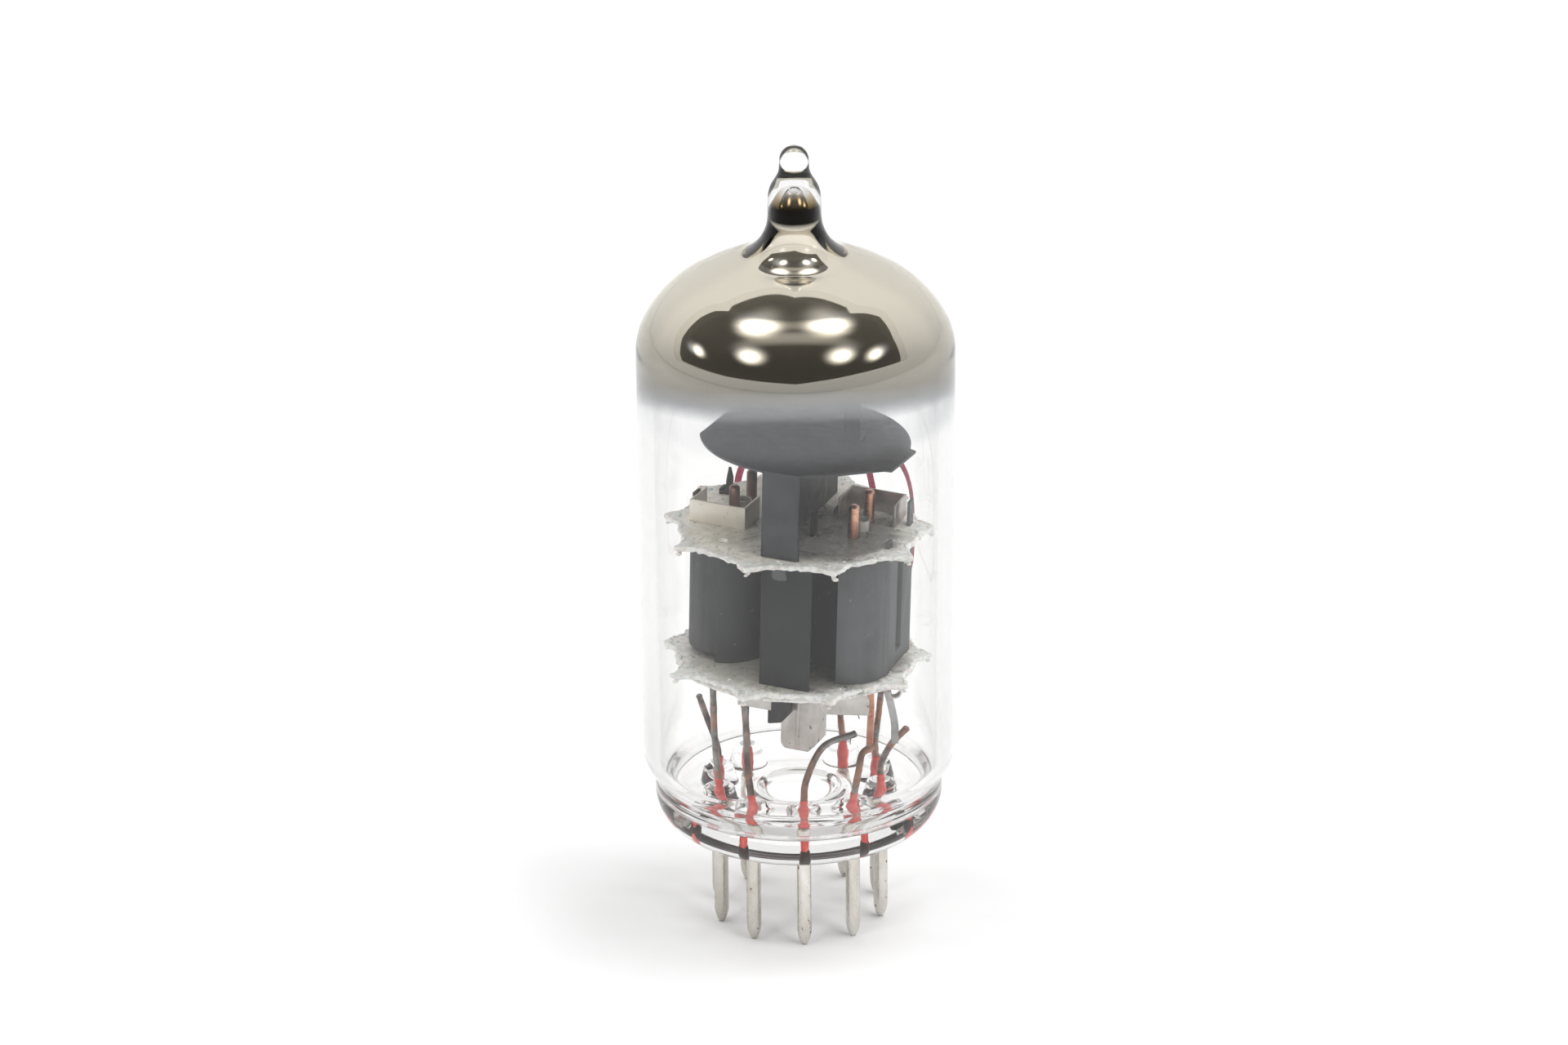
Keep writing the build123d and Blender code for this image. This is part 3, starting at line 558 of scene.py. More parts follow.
def carbon_look(name, depth):
    """Carbonised steel: even dark grey of a given depth with a faint drawn grain."""
    look = Look(name, Metallic=0.1, Specular_IOR_Level=0.2)
    streak = look.noise(0.8, detail=4.0, stretch=(1, 1, 0.08))
    cloud = look.noise(0.5, detail=5.0)
    tone = look.mean(streak, cloud)
    shades = [[depth * level * tint for tint in (0.96, 1.0, 1.04)] for level in (0.8, 1.2)]
    grey = look.ramp(tone, [(0.34, shades[0]), (0.64, shades[1])])
    dust = look.ramp(look.noise(3.4, detail=2.0, rough=0.75), [(0.69, 0.0), (0.75, 0.55)])
    look.colour(look.mix(dust, grey, (0.36, 0.36, 0.36)))
    look.roughness(look.range(tone, 0.35, 0.65, 0.5, 0.65))
    look.bump(cloud, 0.3, 0.02)
    return look.material


def seal_look():
    """Red copper oxide under glass."""
    look = Look("oxide_seal", Roughness=0.3, Coat_Weight=0.3, Coat_Roughness=0.1)
    tone = look.noise(1.4, detail=4.0, warp=0.8)
    stops = [(0.3, (0.5, 0.035, 0.03)), (0.55, (0.68, 0.075, 0.06)), (0.75, (0.75, 0.2, 0.15))]
    look.colour(look.ramp(tone, stops))
    look.bump(look.noise(4.0), 0.3, 0.03)
    return look.material


def lead_look():
    """Nickel and copper wire, scorched brown with bare copper showing."""
    look = Look("scorched_wire", Metallic=0.85)
    tone = look.noise(0.55, detail=5.0, rough=0.6, warp=0.7)
    scorched, brown = (0.05, 0.042, 0.04), (0.19, 0.13, 0.105)
    copper, nickel = (0.4, 0.2, 0.13), (0.33, 0.29, 0.27)
    stops = [(0.3, scorched), (0.43, brown), (0.56, copper), (0.7, nickel)]
    patch = look.ramp(look.noise(0.22, detail=3.0, warp=0.8), [(0.5, 0.0), (0.58, 1.0)])
    greyed = look.ramp(tone, [(0.35, (0.1, 0.095, 0.09)), (0.6, (0.36, 0.35, 0.335))])
    look.colour(look.mix(patch, look.ramp(tone, stops), greyed))
    look.roughness(look.range(look.noise(3.0), 0.3, 0.7, 0.28, 0.55))
    look.bump(look.noise(5.0), 0.4, 0.03)
    return look.material


def plain_look(name, colour, rough, metallic=0.0):
    """Small parts: one colour broken up by a fine mottle."""
    look = Look(name, Metallic=metallic)
    tone = look.noise(2.4, detail=4.0)
    dark = tuple(0.72 * c for c in colour)
    look.colour(look.ramp(tone, [(0.3, dark), (0.65, colour)]))
    look.roughness(look.range(tone, 0.3, 0.7, rough, rough + 0.15))
    look.bump(tone, 0.3, 0.02)
    return look.material


GLASS = glass_look("clear_glass", 0.65, BULB_DENSITY)
BUTTON_GLASS = glass_look("clear_button_glass", 1.0, BUTTON_DENSITY)
FILM = film_look()
MICA = mica_look("mica_sheet", 1.0)
MICA_DIRTY = mica_look("mica_sheet_dirty", 0.55)
FROST = frost_look()
CARBON = carbon_look("carbonised_plate", 0.062)
# Lighter copy of the carbon: painted light for the lit front half of the right anode; the weld marks also
# take it as their own colour.
CARBON_PAINTED_LIGHT_AND_WELD = carbon_look("carbonised_plate_painted_light_and_weld", 0.118)
# Near-black copy of the carbon: painted shade for the tucked half of the right anode, which lies in shadow
# behind the screen's flange.
CARBON_PAINTED_SHADE = carbon_look("carbonised_plate_painted_shade", 0.007)
SEAL = seal_look()
LEAD = lead_look()
PIN_METAL = metal_look(
    "pin_nickel", (0.5, 0.47, 0.41), (0.76, 0.74, 0.7), 0.5, rough=(0.16, 0.34),
    stretch=(1, 1, 0.35), specks=(0.16, 0.1, 0.06), speck_scale=1.5, relief=0.004,
)
HOOD_METAL = metal_look(
    "hood_steel", (0.042, 0.047, 0.052), (0.064, 0.071, 0.078), 0.3,
    metallic=0.4, rough=(0.38, 0.52), relief=0.008,
)
SCREEN_METAL = metal_look(
    "screen_sheet", (0.022, 0.023, 0.0245), (0.032, 0.034, 0.0355), 0.35,
    metallic=0.1, rough=(0.5, 0.62), relief=0.01, specular=0.25,
)
BRIGHT_STRIP = metal_look(
    "bright_strip", (0.84, 0.77, 0.65), (0.95, 0.9, 0.8), 0.5,
    metallic=0.3, rough=(0.3, 0.45), specks=(0.3, 0.25, 0.2),
)
DARK_STRIP = metal_look("dark_strip", (0.42, 0.38, 0.36), (0.64, 0.59, 0.56), 0.7, rough=(0.35, 0.5))
CUP_METAL = metal_look(
    "cup_metal", (0.5, 0.475, 0.44), (0.74, 0.71, 0.68), 0.5,
    rough=(0.35, 0.5), specks=(0.2, 0.15, 0.12), speck_scale=1.8,
)
COPPER = metal_look("bare_copper", (0.55, 0.24, 0.15), (0.8, 0.45, 0.32), 0.6, rough=(0.25, 0.42))
DARK_ROD = metal_look("dull_copper", (0.14, 0.09, 0.08), (0.34, 0.2, 0.16), 0.6, rough=(0.3, 0.5))
GREY_STRIP = metal_look("grey_ribbon", (0.3, 0.31, 0.31), (0.55, 0.56, 0.56), 0.7, rough=(0.3, 0.5))
BEAD = plain_look("weld_bead", (0.035, 0.014, 0.01), 0.4, 0.3)
GRID_WIRE = plain_look("grid_wire", (0.5, 0.46, 0.4), 0.35, 1.0)
CATHODE = plain_look("cathode_nickel", (0.6, 0.59, 0.56), 0.4, 0.7)
COATING = plain_look("heater_coat", (0.8, 0.8, 0.77), 0.8)
PRINT = plain_look("red_print", (1.0, 0.12, 0.26), 0.45)
FINE_WIRE = plain_look("fine_wire", (0.2, 0.19, 0.18), 0.4, 0.9)


# ---- glass ----
def dome(inset, neck):
    """Shoulder, roof and concave fillet of the dome, from the shoulder upwards."""
    points = [(BULB_RADIUS - inset, SHOULDER_HEIGHT)]
    start = 0
    for radius, end in DOME_ARCS:
        reach = radius - inset
        x, z = points[-1]
        centre = (x - reach * cos(radians(start)), z - reach * sin(radians(start)))
        points += arc(centre, reach, start, end, 14)[1:]
        start = end
    x, z = points[-1]
    slope = radians(start)
    fillet = (x - neck) / (1 - cos(slope))
    bend = (x + fillet * cos(slope), z + fillet * sin(slope))
    return points + arc(bend, fillet, 180 + start, 180, 26)[1:]


def dome_cap(radius, low, high):
    """Rounded end of a bore, from its wall to its axis."""
    height = high - low
    angles = [pi / 2 * k / 14 for k in range(1, 14)]
    return [(radius * cos(t), low + height * sin(t)) for t in angles] + [(0, high)]


def glass_envelope():
    """Bulb, dome and sealed exhaust tip."""
    base = [
        (BUTTON_RADIUS, WELD_HEIGHT),
        (BUTTON_RADIUS, STEP_LOW),
        (BULB_RADIUS - 0.15, STEP_HIGH - 0.5),
        (BULB_RADIUS, STEP_HIGH),
        (BULB_RADIUS, STEP_HIGH + 3),
    ]
    nib = [(NECK_RADIUS, 52.9), (NECK_RADIUS - 0.05, 54.15), (TIP_RADIUS + 0.05, 55.3), (TIP_RADIUS, 56.15)]
    outer = rounded(base, 0.4) + dome(0, NECK_RADIUS) + rounded(nib, 0.9, 10)
    outer += arc((0, OVERALL_HEIGHT - TIP_RADIUS), TIP_RADIUS, 4, 90, 14)
    inner = [
        (WELD_INNER_RADIUS, WELD_HEIGHT),
        (WELD_INNER_RADIUS + 0.35, STEP_LOW - 0.2),
        (BULB_RADIUS - BULB_WALL, STEP_HIGH),
        (BULB_RADIUS - BULB_WALL, STEP_HIGH + 3),
    ]
    lining = rounded(inner, 0.5) + dome(BULB_WALL, NECK_BORE)
    lining += dome_cap(NECK_BORE, lining[-1][1], BORE_TOP)
    bm = turned(outer + lining[::-1], 200)
    add_piece("glass_bulb", bm, GLASS, ("glass_envelope",), sharp=60)


def pin_place(number):
    """Centre of a pin, counted 1 to 9 in the standard order."""
    angle = radians(FIRST_PIN_ANGLE + PIN_STEP * (number - 1))
    return PIN_CIRCLE / 2 * cos(angle), PIN_CIRCLE / 2 * sin(angle)


PINS = range(1, PIN_COUNT + 1)


def fall(distance, edge, softness):
    """1 inside an edge, 0 outside it, with a soft step."""
    t = min(1, max(0, (edge + softness - distance) / (2 * softness)))
    return t * t * (3 - 2 * t)


def button_relief(x, y, z):
    """Pedestals and raised ring on the upper face of the button."""
    if abs(z - BUTTON_TOP) > 1e-6:
        return z
    ring = hypot(x, y) - RING_RADIUS
    lift = RING_HALF_WIDTH * exp(-((ring / RING_HALF_WIDTH) ** 2))
    rise = PEDESTAL_HEIGHT - BUTTON_TOP
    for number in PINS:
        px, py = pin_place(number)
        distance = hypot(x - px, y - py)
        lift += rise * (0.82 * fall(distance, PEDESTAL_RADIUS, 0.22) + 0.18 * fall(distance, 0.85, 0.3))
        lift -= 0.25 * fall(distance, 0.45, 0.15)
    return z + lift


def button_stem():
    """Pressed glass button that carries the pins."""
    outer = [(0, UNDERSIDE), (4.0, UNDERSIDE), (6.9, UNDERSIDE + 0.03)]
    outer += arc((7.4, 9.85), 2.75, -90, -2, 20)
    lip = [(BUTTON_RADIUS, WELD_HEIGHT + 0.02), (WELD_INNER_RADIUS, WELD_HEIGHT + 0.02), (8.75, 9.55)]
    outer += [(BUTTON_RADIUS, 9.8)] + rounded(lip + [(8.3, BUTTON_TOP), (8.0, BUTTON_TOP)], 0.35)
    fine = [7.6 - 0.055 * k for k in range(61)]
    coarse = [fine[-1] * k / 36 for k in range(35, -1, -1)]
    top = [(radius, BUTTON_TOP) for radius in fine + coarse]
    bm = turned(outer + top, 396, button_relief, closed=False)
    add_piece("glass_button", bm, BUTTON_GLASS, ("button_stem",), sharp=60)


def film_face(inset):
    """One face of the getter film, from its skirt to the end of the bore."""
    face = [(BULB_RADIUS - inset, FILM_LOW + 1.3 * k) for k in range(4)]
    face += dome(inset, NECK_BORE + BULB_WALL - inset)
    return face + dome_cap(face[-1][0], face[-1][1], BORE_TOP + BULB_WALL - inset)


def getter_film():
    """Film of metal on the inside of the dome and neck, sunk a hair into the glass."""
    outside = film_face(BULB_WALL - FILM_SET_IN)
    inside = film_face(BULB_WALL - FILM_SET_IN + FILM_SHEET)
    bm = turned(outside + inside[::-1], 200)
    add_piece("getter_mirror_film", bm, FILM, ("getter_flash",), sharp=60)


# ---- pins, seals and leads ----
def pin(number):
    """Nickel pin with a bullet point."""
    x, y = pin_place(number)
    point = [(0, 0.0), (0.16, 0.01), (0.27, 0.16), (0.4, 0.5), (0.485, 0.86), (PIN_RADIUS, 1.2)]
    shank = [(PIN_RADIUS, 1.2 + 1.15 * k) for k in range(1, 5)]
    root = [(PIN_RADIUS, UNDERSIDE - 0.15), (PIN_RADIUS - 0.05, UNDERSIDE - 0.04), (0.36, UNDERSIDE + 0.06)]
    root += [(0.3, BEAD_LOW + 0.1), (0, BEAD_LOW + 0.1)]
    bm = turned(rounded(point, 0.12, 4) + shank + rounded(root, 0.08, 3), 40)
    bmesh.ops.translate(bm, vec=(x, y, 0), verts=bm.verts)
    add_piece(f"contact_pin_{number}", bm, PIN_METAL, (f"pin_{number}",), sharp=60)


def seal(number):
    """Red oxide sleeve of a sealing wire, with its dark weld bead below."""
    x, y = pin_place(number)
    spread = Random(number)
    lean = Vector((spread.uniform(-0.1, 0.1), spread.uniform(-0.1, 0.1), 0))
    base = Vector((x, y, 0))
    low = BEAD_LOW + BEAD_HEIGHT - 0.1
    heights = [low, low + 0.8, SEAL_NECK - 0.6, SEAL_NECK, SEAL_TOP]
    corners = [base + Vector((0, 0, h)) + lean * max(0, h - SEAL_NECK) for h in heights]
    thick = [0.88 * SEAL_RADIUS, SEAL_RADIUS, SEAL_RADIUS, 0.95 * SEAL_RADIUS, 0.27]
    bm = bmesh.new()
    wire(bm, corners, thick, 6, 18, 0.16)
    add_piece(f"seal_sleeve_{number}", bm, SEAL, (f"seal_wire_{number}",))
    half = BEAD_HEIGHT / 2
    angles = [pi * (k / 16 - 0.5) for k in range(1, 16)]
    outline = [(BEAD_RADIUS * cos(t), BEAD_LOW + half + half * sin(t)) for t in angles]
    bm = turned([(0, BEAD_LOW)] + outline + [(0, BEAD_LOW + BEAD_HEIGHT)], 26)
    for vert in bm.verts:
        vert.co += noise.noise_vector(vert.co * 3.1 + Vector((number * 5.3, 0, 0))) * 0.05
    bmesh.ops.translate(bm, vec=(x, y, 0), verts=bm.verts)
    add_piece(f"weld_bead_{number}", bm, BEAD)


# Each lead rises from its seal to its electrode, or ends where it was cut off.
LEAD_END = 19.4
LEAD_CORNERS = {
    1: [(-3.6, 4.8, 12.6), (-3.8, 4.5, 15.4), (-3.8, 4.0, LEAD_END)],
    2: [(-5.8, 1.8, 12.4), (-6.6, 1.4, 15.0), (-7.0, 1.1, 16.4)],
    3: [(-5.8, -1.8, 12.6), (-5.95, -1.6, 15.2), (-6.0, -1.1, LEAD_END)],
    4: [(-3.7, -4.8, 12.9), (-3.8, -3.9, 15.6), (-3.8, -3.0, LEAD_END)],
    5: [(0.2, -5.9, 12.9), (1.4, -5.5, 15.2), (3.6, -4.8, 15.8)],
    6: [(3.85, -4.7, 12.9), (4.15, -4.2, 14.0), (5.0, -3.3, 14.1)],
    7: [(5.65, -2.0, 12.2), (6.3, -2.7, 14.0), (7.2, -3.5, 15.5)],
    8: [(5.6, 1.6, 12.4), (5.75, 0.4, 15.2), (5.95, -1.1, LEAD_END)],
    9: [(3.35, 4.85, 12.6), (3.2, 4.75, 15.6), (3.1, 4.5, LEAD_END)],
}
COPPER_ROUTE = [(5.15, 1.5, 11.5), (5.15, 0.9, 13.2), (5.1, -0.4, 15.8), (4.9, -1.7, LEAD_END)]
RIBBON_ROUTE = [(6.45, -3.3, 14.3), (6.35, -3.6, 16.3), (5.7, -4.0, LEAD_END)]


def lead(number):
    """Bent wire from a seal into the cage."""
    x, y = pin_place(number)
    corners = [(x, y, SEAL_TOP - 0.3)] + LEAD_CORNERS[number]
    radii = [LEAD_RADIUS, LEAD_RADIUS, LEAD_RADIUS * 0.96, LEAD_RADIUS]
    bm = bmesh.new()
    wire(bm, corners, radii, 12, 14, 0.12)
    add_piece(f"lead_{number}", bm, LEAD, (f"lead_wire_{number}",))


def fine_wires():
    """Heater ends below the lower mica and the whisker left at a cut lead."""
    runs = [
        [(3.75, -4.75, 19.4), (3.95, -4.7, 18.3), (3.8, -4.8, 17.4), (3.9, -4.75, 16.9)],
        [(4.2, -4.6, 19.4), (4.35, -4.55, 18.5), (4.25, -4.6, 17.6)],
        [(3.5, -4.85, 15.75), (3.3, -4.95, 15.5), (3.25, -5.0, 15.1)],
    ]
    bm = bmesh.new()
    for corners in runs:
        wire(bm, corners, [FINE_WIRE_RADIUS] * len(corners), 6, 8)
    add_piece("fine_wires", bm, FINE_WIRE)


def ribbons():
    """Flat ties between the leads and the cage."""
    bm = flat_strip(bmesh.new(), COPPER_ROUTE, 0.5, 0.2)
    add_piece("copper_tie", bm, COPPER, ("copper_strap",))
    bm = flat_strip(bmesh.new(), RIBBON_ROUTE, 0.5, 0.12)
    add_piece("grey_tie", bm, GREY_STRIP, ("grey_ribbon",))


# ---- micas ----
def mica_edge(tip_radius, seed):
    """Outline of a mica: a disc with pointed tabs and a torn edge."""
    outline = []
    steps = 720
    pitch = 360 / MICA_TABS
    for k in range(steps):
        angle = 360 * k / steps
        off = (angle + pitch / 2) % pitch - pitch / 2
        centre_off = abs(abs(off) - pitch / 2)
        share = max(0.0, 1 - centre_off / TAB_HALF_ANGLE)
        radius = MICA_RADIUS + (tip_radius - MICA_RADIUS) * share**1.15
        spot = Vector((cos(radians(angle)), sin(radians(angle)), 0)) * MICA_RADIUS
        torn = noise.noise(spot * 1.6 + Vector((seed, 0, 0))) * 0.13
        torn += noise.noise(spot * 6.0 + Vector((0, seed, 0))) * 0.06
        radius = min(radius + torn, tip_radius)
        outline.append(Vector((radius * cos(radians(angle)), radius * sin(radians(angle)), 0)))
    return outline


def circle_hole(x, y, radius):
    """Round hole of the cage frame, in the disc frame."""
    return [Vector((x + u, y + v + CAGE_SHIFT, 0)) for u, v in round_section(radius, 24)]


def box_hole(x0, x1, y0, y1):
    """Square-cornered hole of the cage frame, in the disc frame."""
    return [Vector((x, y + CAGE_SHIFT, 0)) for x, y in ((x0, y0), (x1, y0), (x1, y1), (x0, y1))]


def mica_holes(upper):
    """Holes for rods, cathodes, lugs and screens, in the disc frame."""
    gap = 0.06
    holes = []
    for system in (-1, 1):
        x = system * SYSTEM_X
        for side in (-1, 1):
            holes.append(circle_hole(x, side * 1.56, 0.38 + gap))
            lug = side * (2.8 if side > 0 else 2.59)
            for end in (-1, 1):
                y = end * 2.3
                holes.append(box_hole(x + lug - 0.16, x + lug + 0.16, y - 0.51, y + 0.51))
        holes.append(circle_hole(x, 0, 0.62 + gap))
    if upper:
        holes.append(box_hole(0.04, 2.76, -7.46, -7.09))
        holes.append(box_hole(0.04, 0.41, -6.36, -4.44))
        holes.append(box_hole(0.04, 0.41, 2.54, 4.46))
        holes.append(circle_hole(-3.4, -5.95, 0.41))
    else:
        holes.append(box_hole(0.04, 0.41, -5.76, -1.69))
    return holes


def mica_sheet(name, node, top, thickness, tip_radius, seed, upper=False):
    """Mica plate with a torn, eased edge and all its holes."""
    outline = mica_edge(tip_radius, seed)
    loops = [outline] + mica_holes(upper)
    flat = [p for loop in loops for p in loop]
    triangles = geometry.tessellate_polygon(loops)
    bm = bmesh.new()
    ease = 0.08
    levels = [(top - thickness, ease), (top - 0.7 * thickness, 0), (top - 0.3 * thickness, 0), (top, ease)]
    rows = []
    for height, inset in levels:
        row = []
        for index, point in enumerate(flat):
            shrink = 1 - inset / point.length if index < len(outline) else 1
            row.append(bm.verts.new((point.x * shrink, point.y * shrink, height)))
        rows.append(row)
    for triangle in triangles:
        bm.faces.new([rows[0][k] for k in triangle])
        bm.faces.new([rows[-1][k] for k in triangle])
    start = 0
    for loop in loops:
        end = start + len(loop)
        bridge(bm, [row[start:end] for row in rows])
        start = end
    add_piece(name, bm, MICA if upper else MICA_DIRTY, (node,), DISC, sharp=30)
    return outline


def mica_frost(name, outline, top, thickness, seed, count):
    """Frosted rim of magnesia along a mica, with crumbs beside it."""
    spread = Random(seed)
    bm = bmesh.new()
    rings = []
    for point in outline[::3]:
        coarse = noise.noise(point * 0.9 + Vector((seed, 0, 0)))
        fine = noise.noise(point * 4.5 + Vector((0, seed, 0)))
        radius = 0.17 + 0.1 * coarse + 0.09 * fine
        inward = point * (1 - 0.1 / point.length)
        out = point.normalized()
        ring = []
        for k in range(10):
            angle = tau * k / 10
            reach = max(0.05, radius * (1 + 0.5 * noise.noise(point * 7 + Vector((k * 0.7, 0, seed)))))
            place = inward + out * reach * cos(angle)
            ring.append(bm.verts.new((place.x, place.y, top - thickness / 2 + reach * 1.05 * sin(angle))))
        rings.append(ring)
    bridge(bm, rings + rings[:1])
    for tab in range(MICA_TABS):
        angle = tau * (tab + 0.5) / MICA_TABS
        for step in range(7):
            radius = MICA_RADIUS + 0.05 + 0.15 * step
            size = 0.27 - 0.02 * step + spread.uniform(-0.03, 0.03)
            turn = angle + spread.uniform(-0.012, 0.012)
            droop = top - 0.5 * thickness - 0.012 * step**2
            crumb(bm, (radius * cos(turn), radius * sin(turn), droop), size, tab * 7 + step, (1, 1, 0.9))
    for index in range(count):
        point = outline[spread.randrange(len(outline))]
        place = point * (1 - spread.uniform(0.15, 1.0) ** 2 / point.length)
        size = 0.03 + 0.09 * spread.random() ** 2
        height = top + 0.01 if spread.random() < 0.7 else top - thickness
        crumb(bm, (place.x, place.y, height), size, index, (1.3, 1.1, 0.6))
    add_piece(name, bm, FROST, (), DISC, sharp=60)


def micas():
    """Both micas with their frosted rims, and the plain mica under the lower one."""
    upper = mica_sheet("mica_top", "upper_mica", UPPER_MICA, MICA_THICKNESS, MICA_TIP_RADIUS, 3.0, True)
    lower = mica_sheet("mica_bottom", "lower_mica", LOWER_MICA, MICA_THICKNESS, MICA_TIP_RADIUS, 11.0)
    low = LOWER_MICA - MICA_THICKNESS
    mica_sheet("mica_bottom_backing", "lower_mica_backing", low - 0.02, 0.26, MICA_RADIUS + 0.15, 23.0)
    mica_frost("frost_top", upper, UPPER_MICA, MICA_THICKNESS, 5, 220)
    mica_frost("frost_bottom", lower, LOWER_MICA, MICA_THICKNESS, 7, 260)


# ---- cage ----
def half_behind(name):
    """Half of an anode whose foot stands higher: the one lapped by the other."""
    feet = {half: cage_box(f"anode_{name}_half_{half}")[0].x for half in ("a", "b")}
    return min(feet, key=feet.get)


def pinched(point):
    """Draw the round ends of an anode half back from the edge of the half lapping it."""
    beyond = abs(point.y) - 2.9
    if beyond > 0:
        point.y -= 0.36 * beyond * (1 if point.y > 0 else -1)


def cage_parts():
    """Sheet and wire parts of the cage with eased edges."""
    for name in ("left", "right"):
        for half in ("a", "b"):
            node = f"anode_{name}_half_{half}"
            tucked = half == half_behind(name) and name == "right"
            # The left anode keeps the plain carbon. On the right anode the tucked half takes the painted
            # shade copy and the other half the painted light copy.
            shade = CARBON if name == "left" else CARBON_PAINTED_SHADE if tucked else CARBON_PAINTED_LIGHT_AND_WELD
            dressed(f"plate_{name}_{half}", node, shade, 0.035, pinched if tucked else None)
        strip = BRIGHT_STRIP if name == "left" else DARK_STRIP
        dressed(f"strap_{name}", f"anode_strap_{name}", strip, 0.03)
        rod = DARK_ROD if name == "left" else COPPER
        dressed(f"side_rods_{name}", f"grid_rods_{name}", rod, 0.04)
        dressed(f"cathode_tube_{name}", f"cathode_{name}", CATHODE, 0.03)
        frame["nodes"][f"grid_winding_{name}"].data.materials[0] = GRID_WIRE
        frame["nodes"][f"heater_{name}"].data.materials[0] = COATING
    for name, node, metal, slot, bevel in (
        ("middle_screen", "central_screen", SCREEN_METAL, "screen_metal", 0.05),
        ("upper_web", "upper_screen", SCREEN_METAL, "screen_metal", 0.04),
        ("getter_hood", "getter_shield", HOOD_METAL, "getter_steel", 0.05),
        ("getter_channel", "getter_ring", HOOD_METAL, "getter_steel", 0.03),
        ("getter_post", "getter_support", HOOD_METAL, "getter_steel", 0.03),
        ("base_cup", "base_shield", CUP_METAL, "bright_strip", 0.05),
        ("screen_toe", "screen_foot", CUP_METAL, "bright_strip", 0.04),
        ("front_strap", "lower_strap", CUP_METAL, "bright_strip", 0.03),
        ("curl", "curled_tab", CUP_METAL, "bright_strip", 0.02),
    ):
        dressed(name, node, metal, bevel)


def weld_marks():
    """Round marks pressed by the welder on the front of the screens."""
    bm = bmesh.new()
    for node, height, size in (("upper_screen", 30.5, 0.4), ("central_screen", 28.75, 0.55)):
        low, high = cage_box(node)
        crumb(bm, (WELD_MARK_X, low.y, height), size, 3, (1, 0.12, 1))
    add_piece("weld_marks", bm, CARBON_PAINTED_LIGHT_AND_WELD, (), CAGE, sharp=60)


# ---- printed mark ----
MARK_RADIUS, MARK_STROKE = BULB_RADIUS - 0.01, 0.6
MARK_CENTRE, MARK_HALF_WIDTH, MARK_HALF_HEIGHT, MARK_HEIGHT = 71.0, 7.9, 5.4, 27.0
MARK_ROUNDING, MARK_BARS = 3.2, (-0.45, 2.75)


def printed_mark():
    """Plain rounded frame with two bars, standing in for the maker's print at the back."""
    bm = bmesh.new()

    def stroke(points, closed):
        """Raised line on the bulb through points given along and up from the mark's centre."""
        line = [Vector(p) for p in points]
        rows = []
        for k, point in enumerate(line):
            before = line[k - 1] if closed or k else point
            after = line[(k + 1) % len(line)] if closed or k + 1 < len(line) else point
            ahead = (after - before).normalized()
            across = Vector((-ahead.y, ahead.x)) * MARK_STROKE / 2
            row = []
            for radius in (MARK_RADIUS, MARK_RADIUS + 0.03):
                for side in (-1, 1):
                    along, up = point + across * side
                    angle = radians(MARK_CENTRE) - along / BULB_RADIUS
                    row.append(bm.verts.new((radius * cos(angle), radius * sin(angle), MARK_HEIGHT + up)))
            rows.append((row[0], row[1], row[3], row[2]))
        bridge(bm, rows + rows[:1] if closed else rows)
        if not closed:
            bm.faces.new(rows[0])
            bm.faces.new(rows[-1])

    frame_line = []
    for k in range(96):
        angle = tau * k / 96
        x, z = cos(angle), sin(angle)
        swell = (abs(x) ** MARK_ROUNDING + abs(z) ** MARK_ROUNDING) ** (-1 / MARK_ROUNDING)
        frame_line.append((MARK_HALF_WIDTH * x * swell, MARK_HALF_HEIGHT * z * swell))
    stroke(frame_line, True)
    for x in MARK_BARS:
        stroke([(x + 0.12 * k, 3.6 - 0.45 * k) for k in range(9)], False)
    add_piece("printed_mark", bm, PRINT)


# ---- studio ----
STUDIO = Matrix.Rotation(radians(CAMERA_AZIMUTH), 4, "Z")
CARD_HEIGHT = 1.12
CARD_CORNERS = [
    (0.0, -3.7), (2.0, -1.6), (3.8, 0.0), (1.6, 0.35), (0.9, 0.6),
    (0.0, 0.42), (-0.75, 0.75), (-2.2, 1.0), (-5.0, 0.7), (-2.9, -2.1),
]
LAMPS = [(-0.37, 0.06), (0.33, 0.06), (-0.72, -0.65), (0.72, -0.65), (-1.9, 0.1), (1.45, -0.35)]
LAMP_SIZE, LAMP_POWER, LAMP_BALANCE = 0.5, 5.7, 0.18
GLOW_RADIUS, CARD_GLOW, STRIP_GLOW = 0.46, 6.5, 0.45
FLOOR_RADIUS, FLOOR_COLOUR, CARD_COLOUR = 1.6, (0.78, 0.78, 0.785), (0.1, 0.094, 0.085)
TENT_STRENGTH = 1.05


def stage_piece(name, bm, material):
    """Part of the studio, in metres."""
    mesh = bpy.data.meshes.new(name)
    bm.to_mesh(mesh)
    bm.free()
    mesh.materials.append(material)
    made = bpy.data.objects.new(name, mesh)
    scene.collection.objects.link(made)
    made.matrix_world = STUDIO


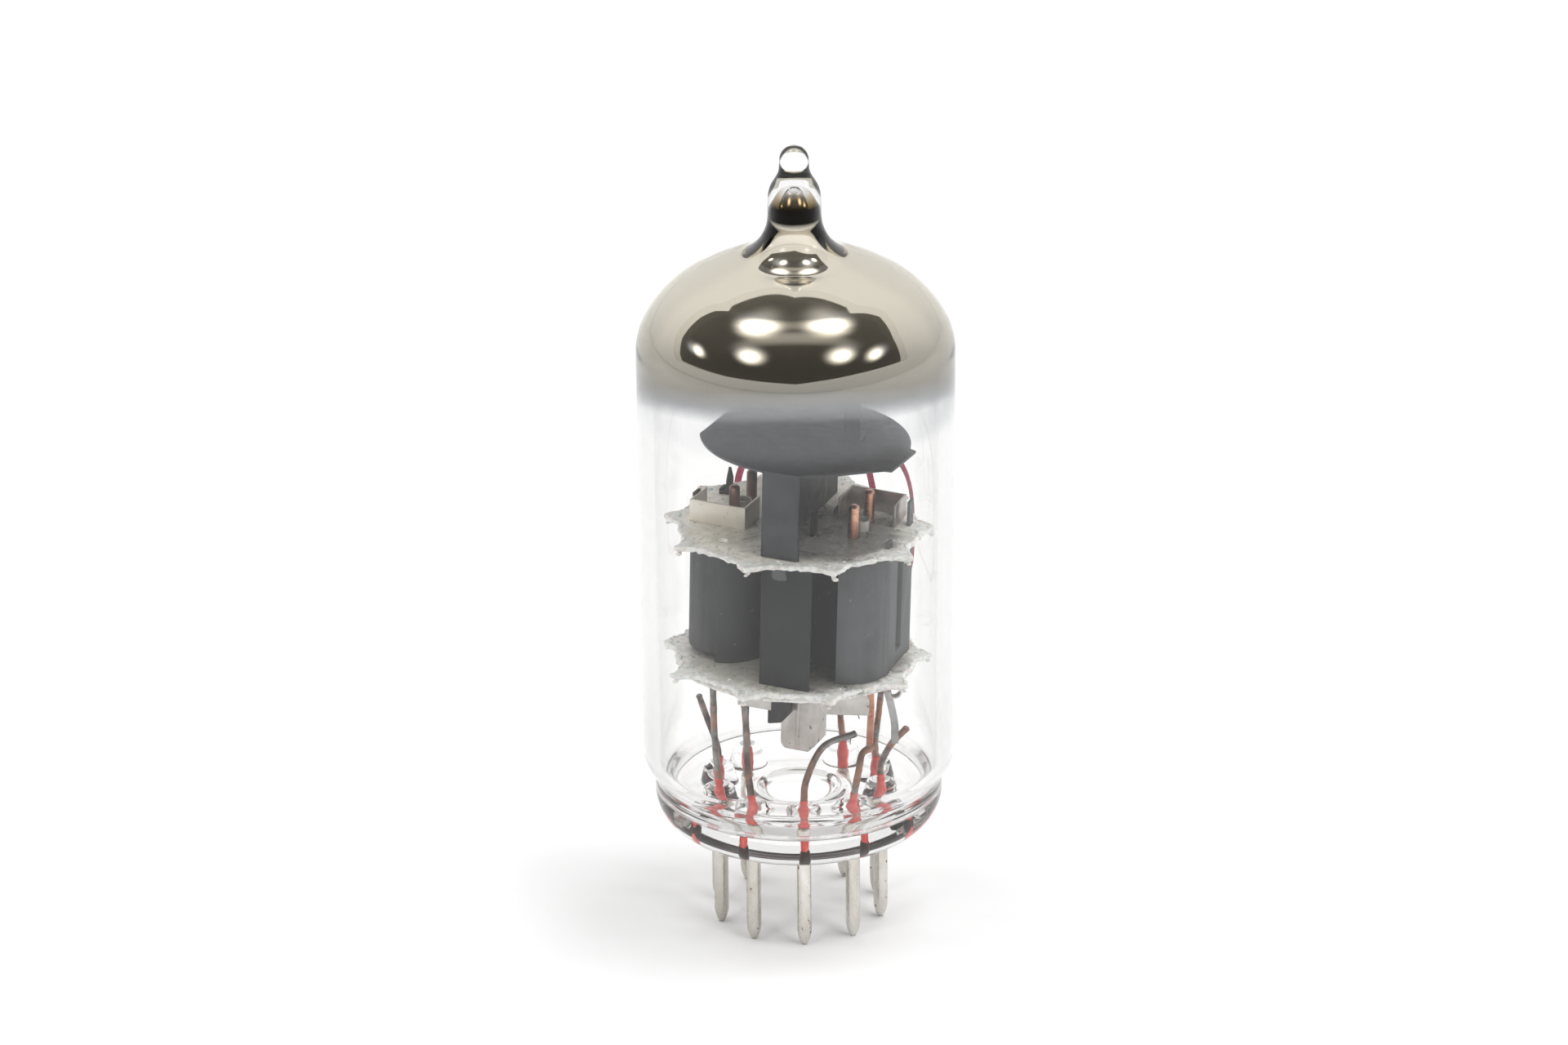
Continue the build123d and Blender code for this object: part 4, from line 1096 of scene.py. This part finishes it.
def studio():
    """Pale floor, and a dark card overhead.

    The card shows the lamps' glow in gloss and through glass only, for the mirror
    film, and doesn't light the object.
    """
    pale = Look("pale_floor", Roughness=0.9, Specular_IOR_Level=0.1)
    pale.shader.inputs["Base Color"].default_value = (*FLOOR_COLOUR, 1)
    floor = turned([(0, 0), (0.3, 0), (FLOOR_RADIUS, 0)], 96, closed=False)
    stage_piece("floor", floor, pale.material)
    bm = bmesh.new()
    bm.faces.new([bm.verts.new((x, y, CARD_HEIGHT)) for x, y in CARD_CORNERS])
    card = Look("dark_card", Roughness=0.8)
    card.shader.inputs["Base Color"].default_value = (*CARD_COLOUR, 1)
    card.shader.inputs["Emission Color"].default_value = (1, 0.98, 0.94, 1)
    glow = 0.0
    for x, y in LAMPS:
        away = card.distance((x, y, 0), unit=1)
        glow = card.math("ADD", glow, card.range(away, 0.0, GLOW_RADIUS, 1, 0))
    away = card.distance((0, -0.5, 0), (0.3, 1.8, 0), 1)
    strip = card.range(away, 0.05, 0.35, STRIP_GLOW, 0)
    glow = card.math("MULTIPLY", card.math("POWER", glow, 2.4), CARD_GLOW)
    path = card.node("ShaderNodeLightPath")
    mirrored = card.math("MAXIMUM", path.outputs["Is Glossy Ray"], path.outputs["Is Transmission Ray"])
    shown = card.math("MULTIPLY", card.math("ADD", glow, strip), mirrored)
    card.link(shown, card.shader.inputs["Emission Strength"])
    card.material.cycles.emission_sampling = "NONE"
    stage_piece("dark_card", bm, card.material)


def lamps():
    """Round soft lamps just under the card, seen only as its glow."""
    for index, (x, y) in enumerate(LAMPS):
        data = bpy.data.lights.new(f"lamp_{index}", "AREA")
        data.shape = "DISK"
        data.size = LAMP_SIZE
        data.energy = LAMP_POWER * (1 + LAMP_BALANCE * (1 if x > 0 else -1))
        lamp = bpy.data.objects.new(data.name, data)
        lamp.visible_glossy = False
        lamp.visible_transmission = False
        lamp.matrix_world = STUDIO @ Matrix.Translation((x, y, CARD_HEIGHT - 0.03))
        scene.collection.objects.link(lamp)


def world():
    """Even white light from all round."""
    made = bpy.data.worlds.new("white_tent")
    made.use_nodes = True
    made.node_tree.nodes["Background"].inputs["Color"].default_value = (1, 1, 1, 1)
    made.node_tree.nodes["Background"].inputs["Strength"].default_value = TENT_STRENGTH
    scene.world = made


def camera():
    """Long lens from slightly above, at the photograph's viewing angle."""
    elevation, roll = radians(CAMERA_ELEVATION), radians(CAMERA_ROLL)
    back = Vector((0, -cos(elevation), sin(elevation)))
    up = Vector((0, sin(elevation), cos(elevation)))
    right = Vector((1, 0, 0))
    across = cos(roll) * right + sin(roll) * up
    upright = cos(roll) * up - sin(roll) * right
    aim = Vector((CAMERA_AIM[0], 0, CAMERA_AIM[1]))
    place = (aim + back * CAMERA_DISTANCE) * MM
    axes = Matrix((across, upright, back)).transposed().to_4x4()
    data = bpy.data.cameras.new("camera")
    data.lens = CAMERA_LENS
    data.sensor_width = 36.0
    data.clip_start, data.clip_end = 0.01, 20.0
    made = bpy.data.objects.new("camera", data)
    turn = Matrix.Rotation(radians(CAMERA_AZIMUTH), 4, "Z")
    made.matrix_world = turn @ Matrix.Translation(place) @ axes
    scene.collection.objects.link(made)
    scene.camera = made


def light_paths():
    """Plain view of the colours, and enough bounces for light to cross both walls of the bulb."""
    scene.view_settings.view_transform = "Standard"
    scene.cycles.max_bounces = 24
    scene.cycles.transmission_bounces = 20
    scene.cycles.glossy_bounces = 8
    scene.cycles.diffuse_bounces = 4
    scene.cycles.transparent_max_bounces = 24


# ---- assembly ----
glass_envelope()
button_stem()
getter_film()
for number in PINS:
    pin(number)
    seal(number)
    lead(number)
fine_wires()
ribbons()
micas()
cage_parts()
weld_marks()
printed_mark()
studio()
lamps()
world()
camera()
light_paths()
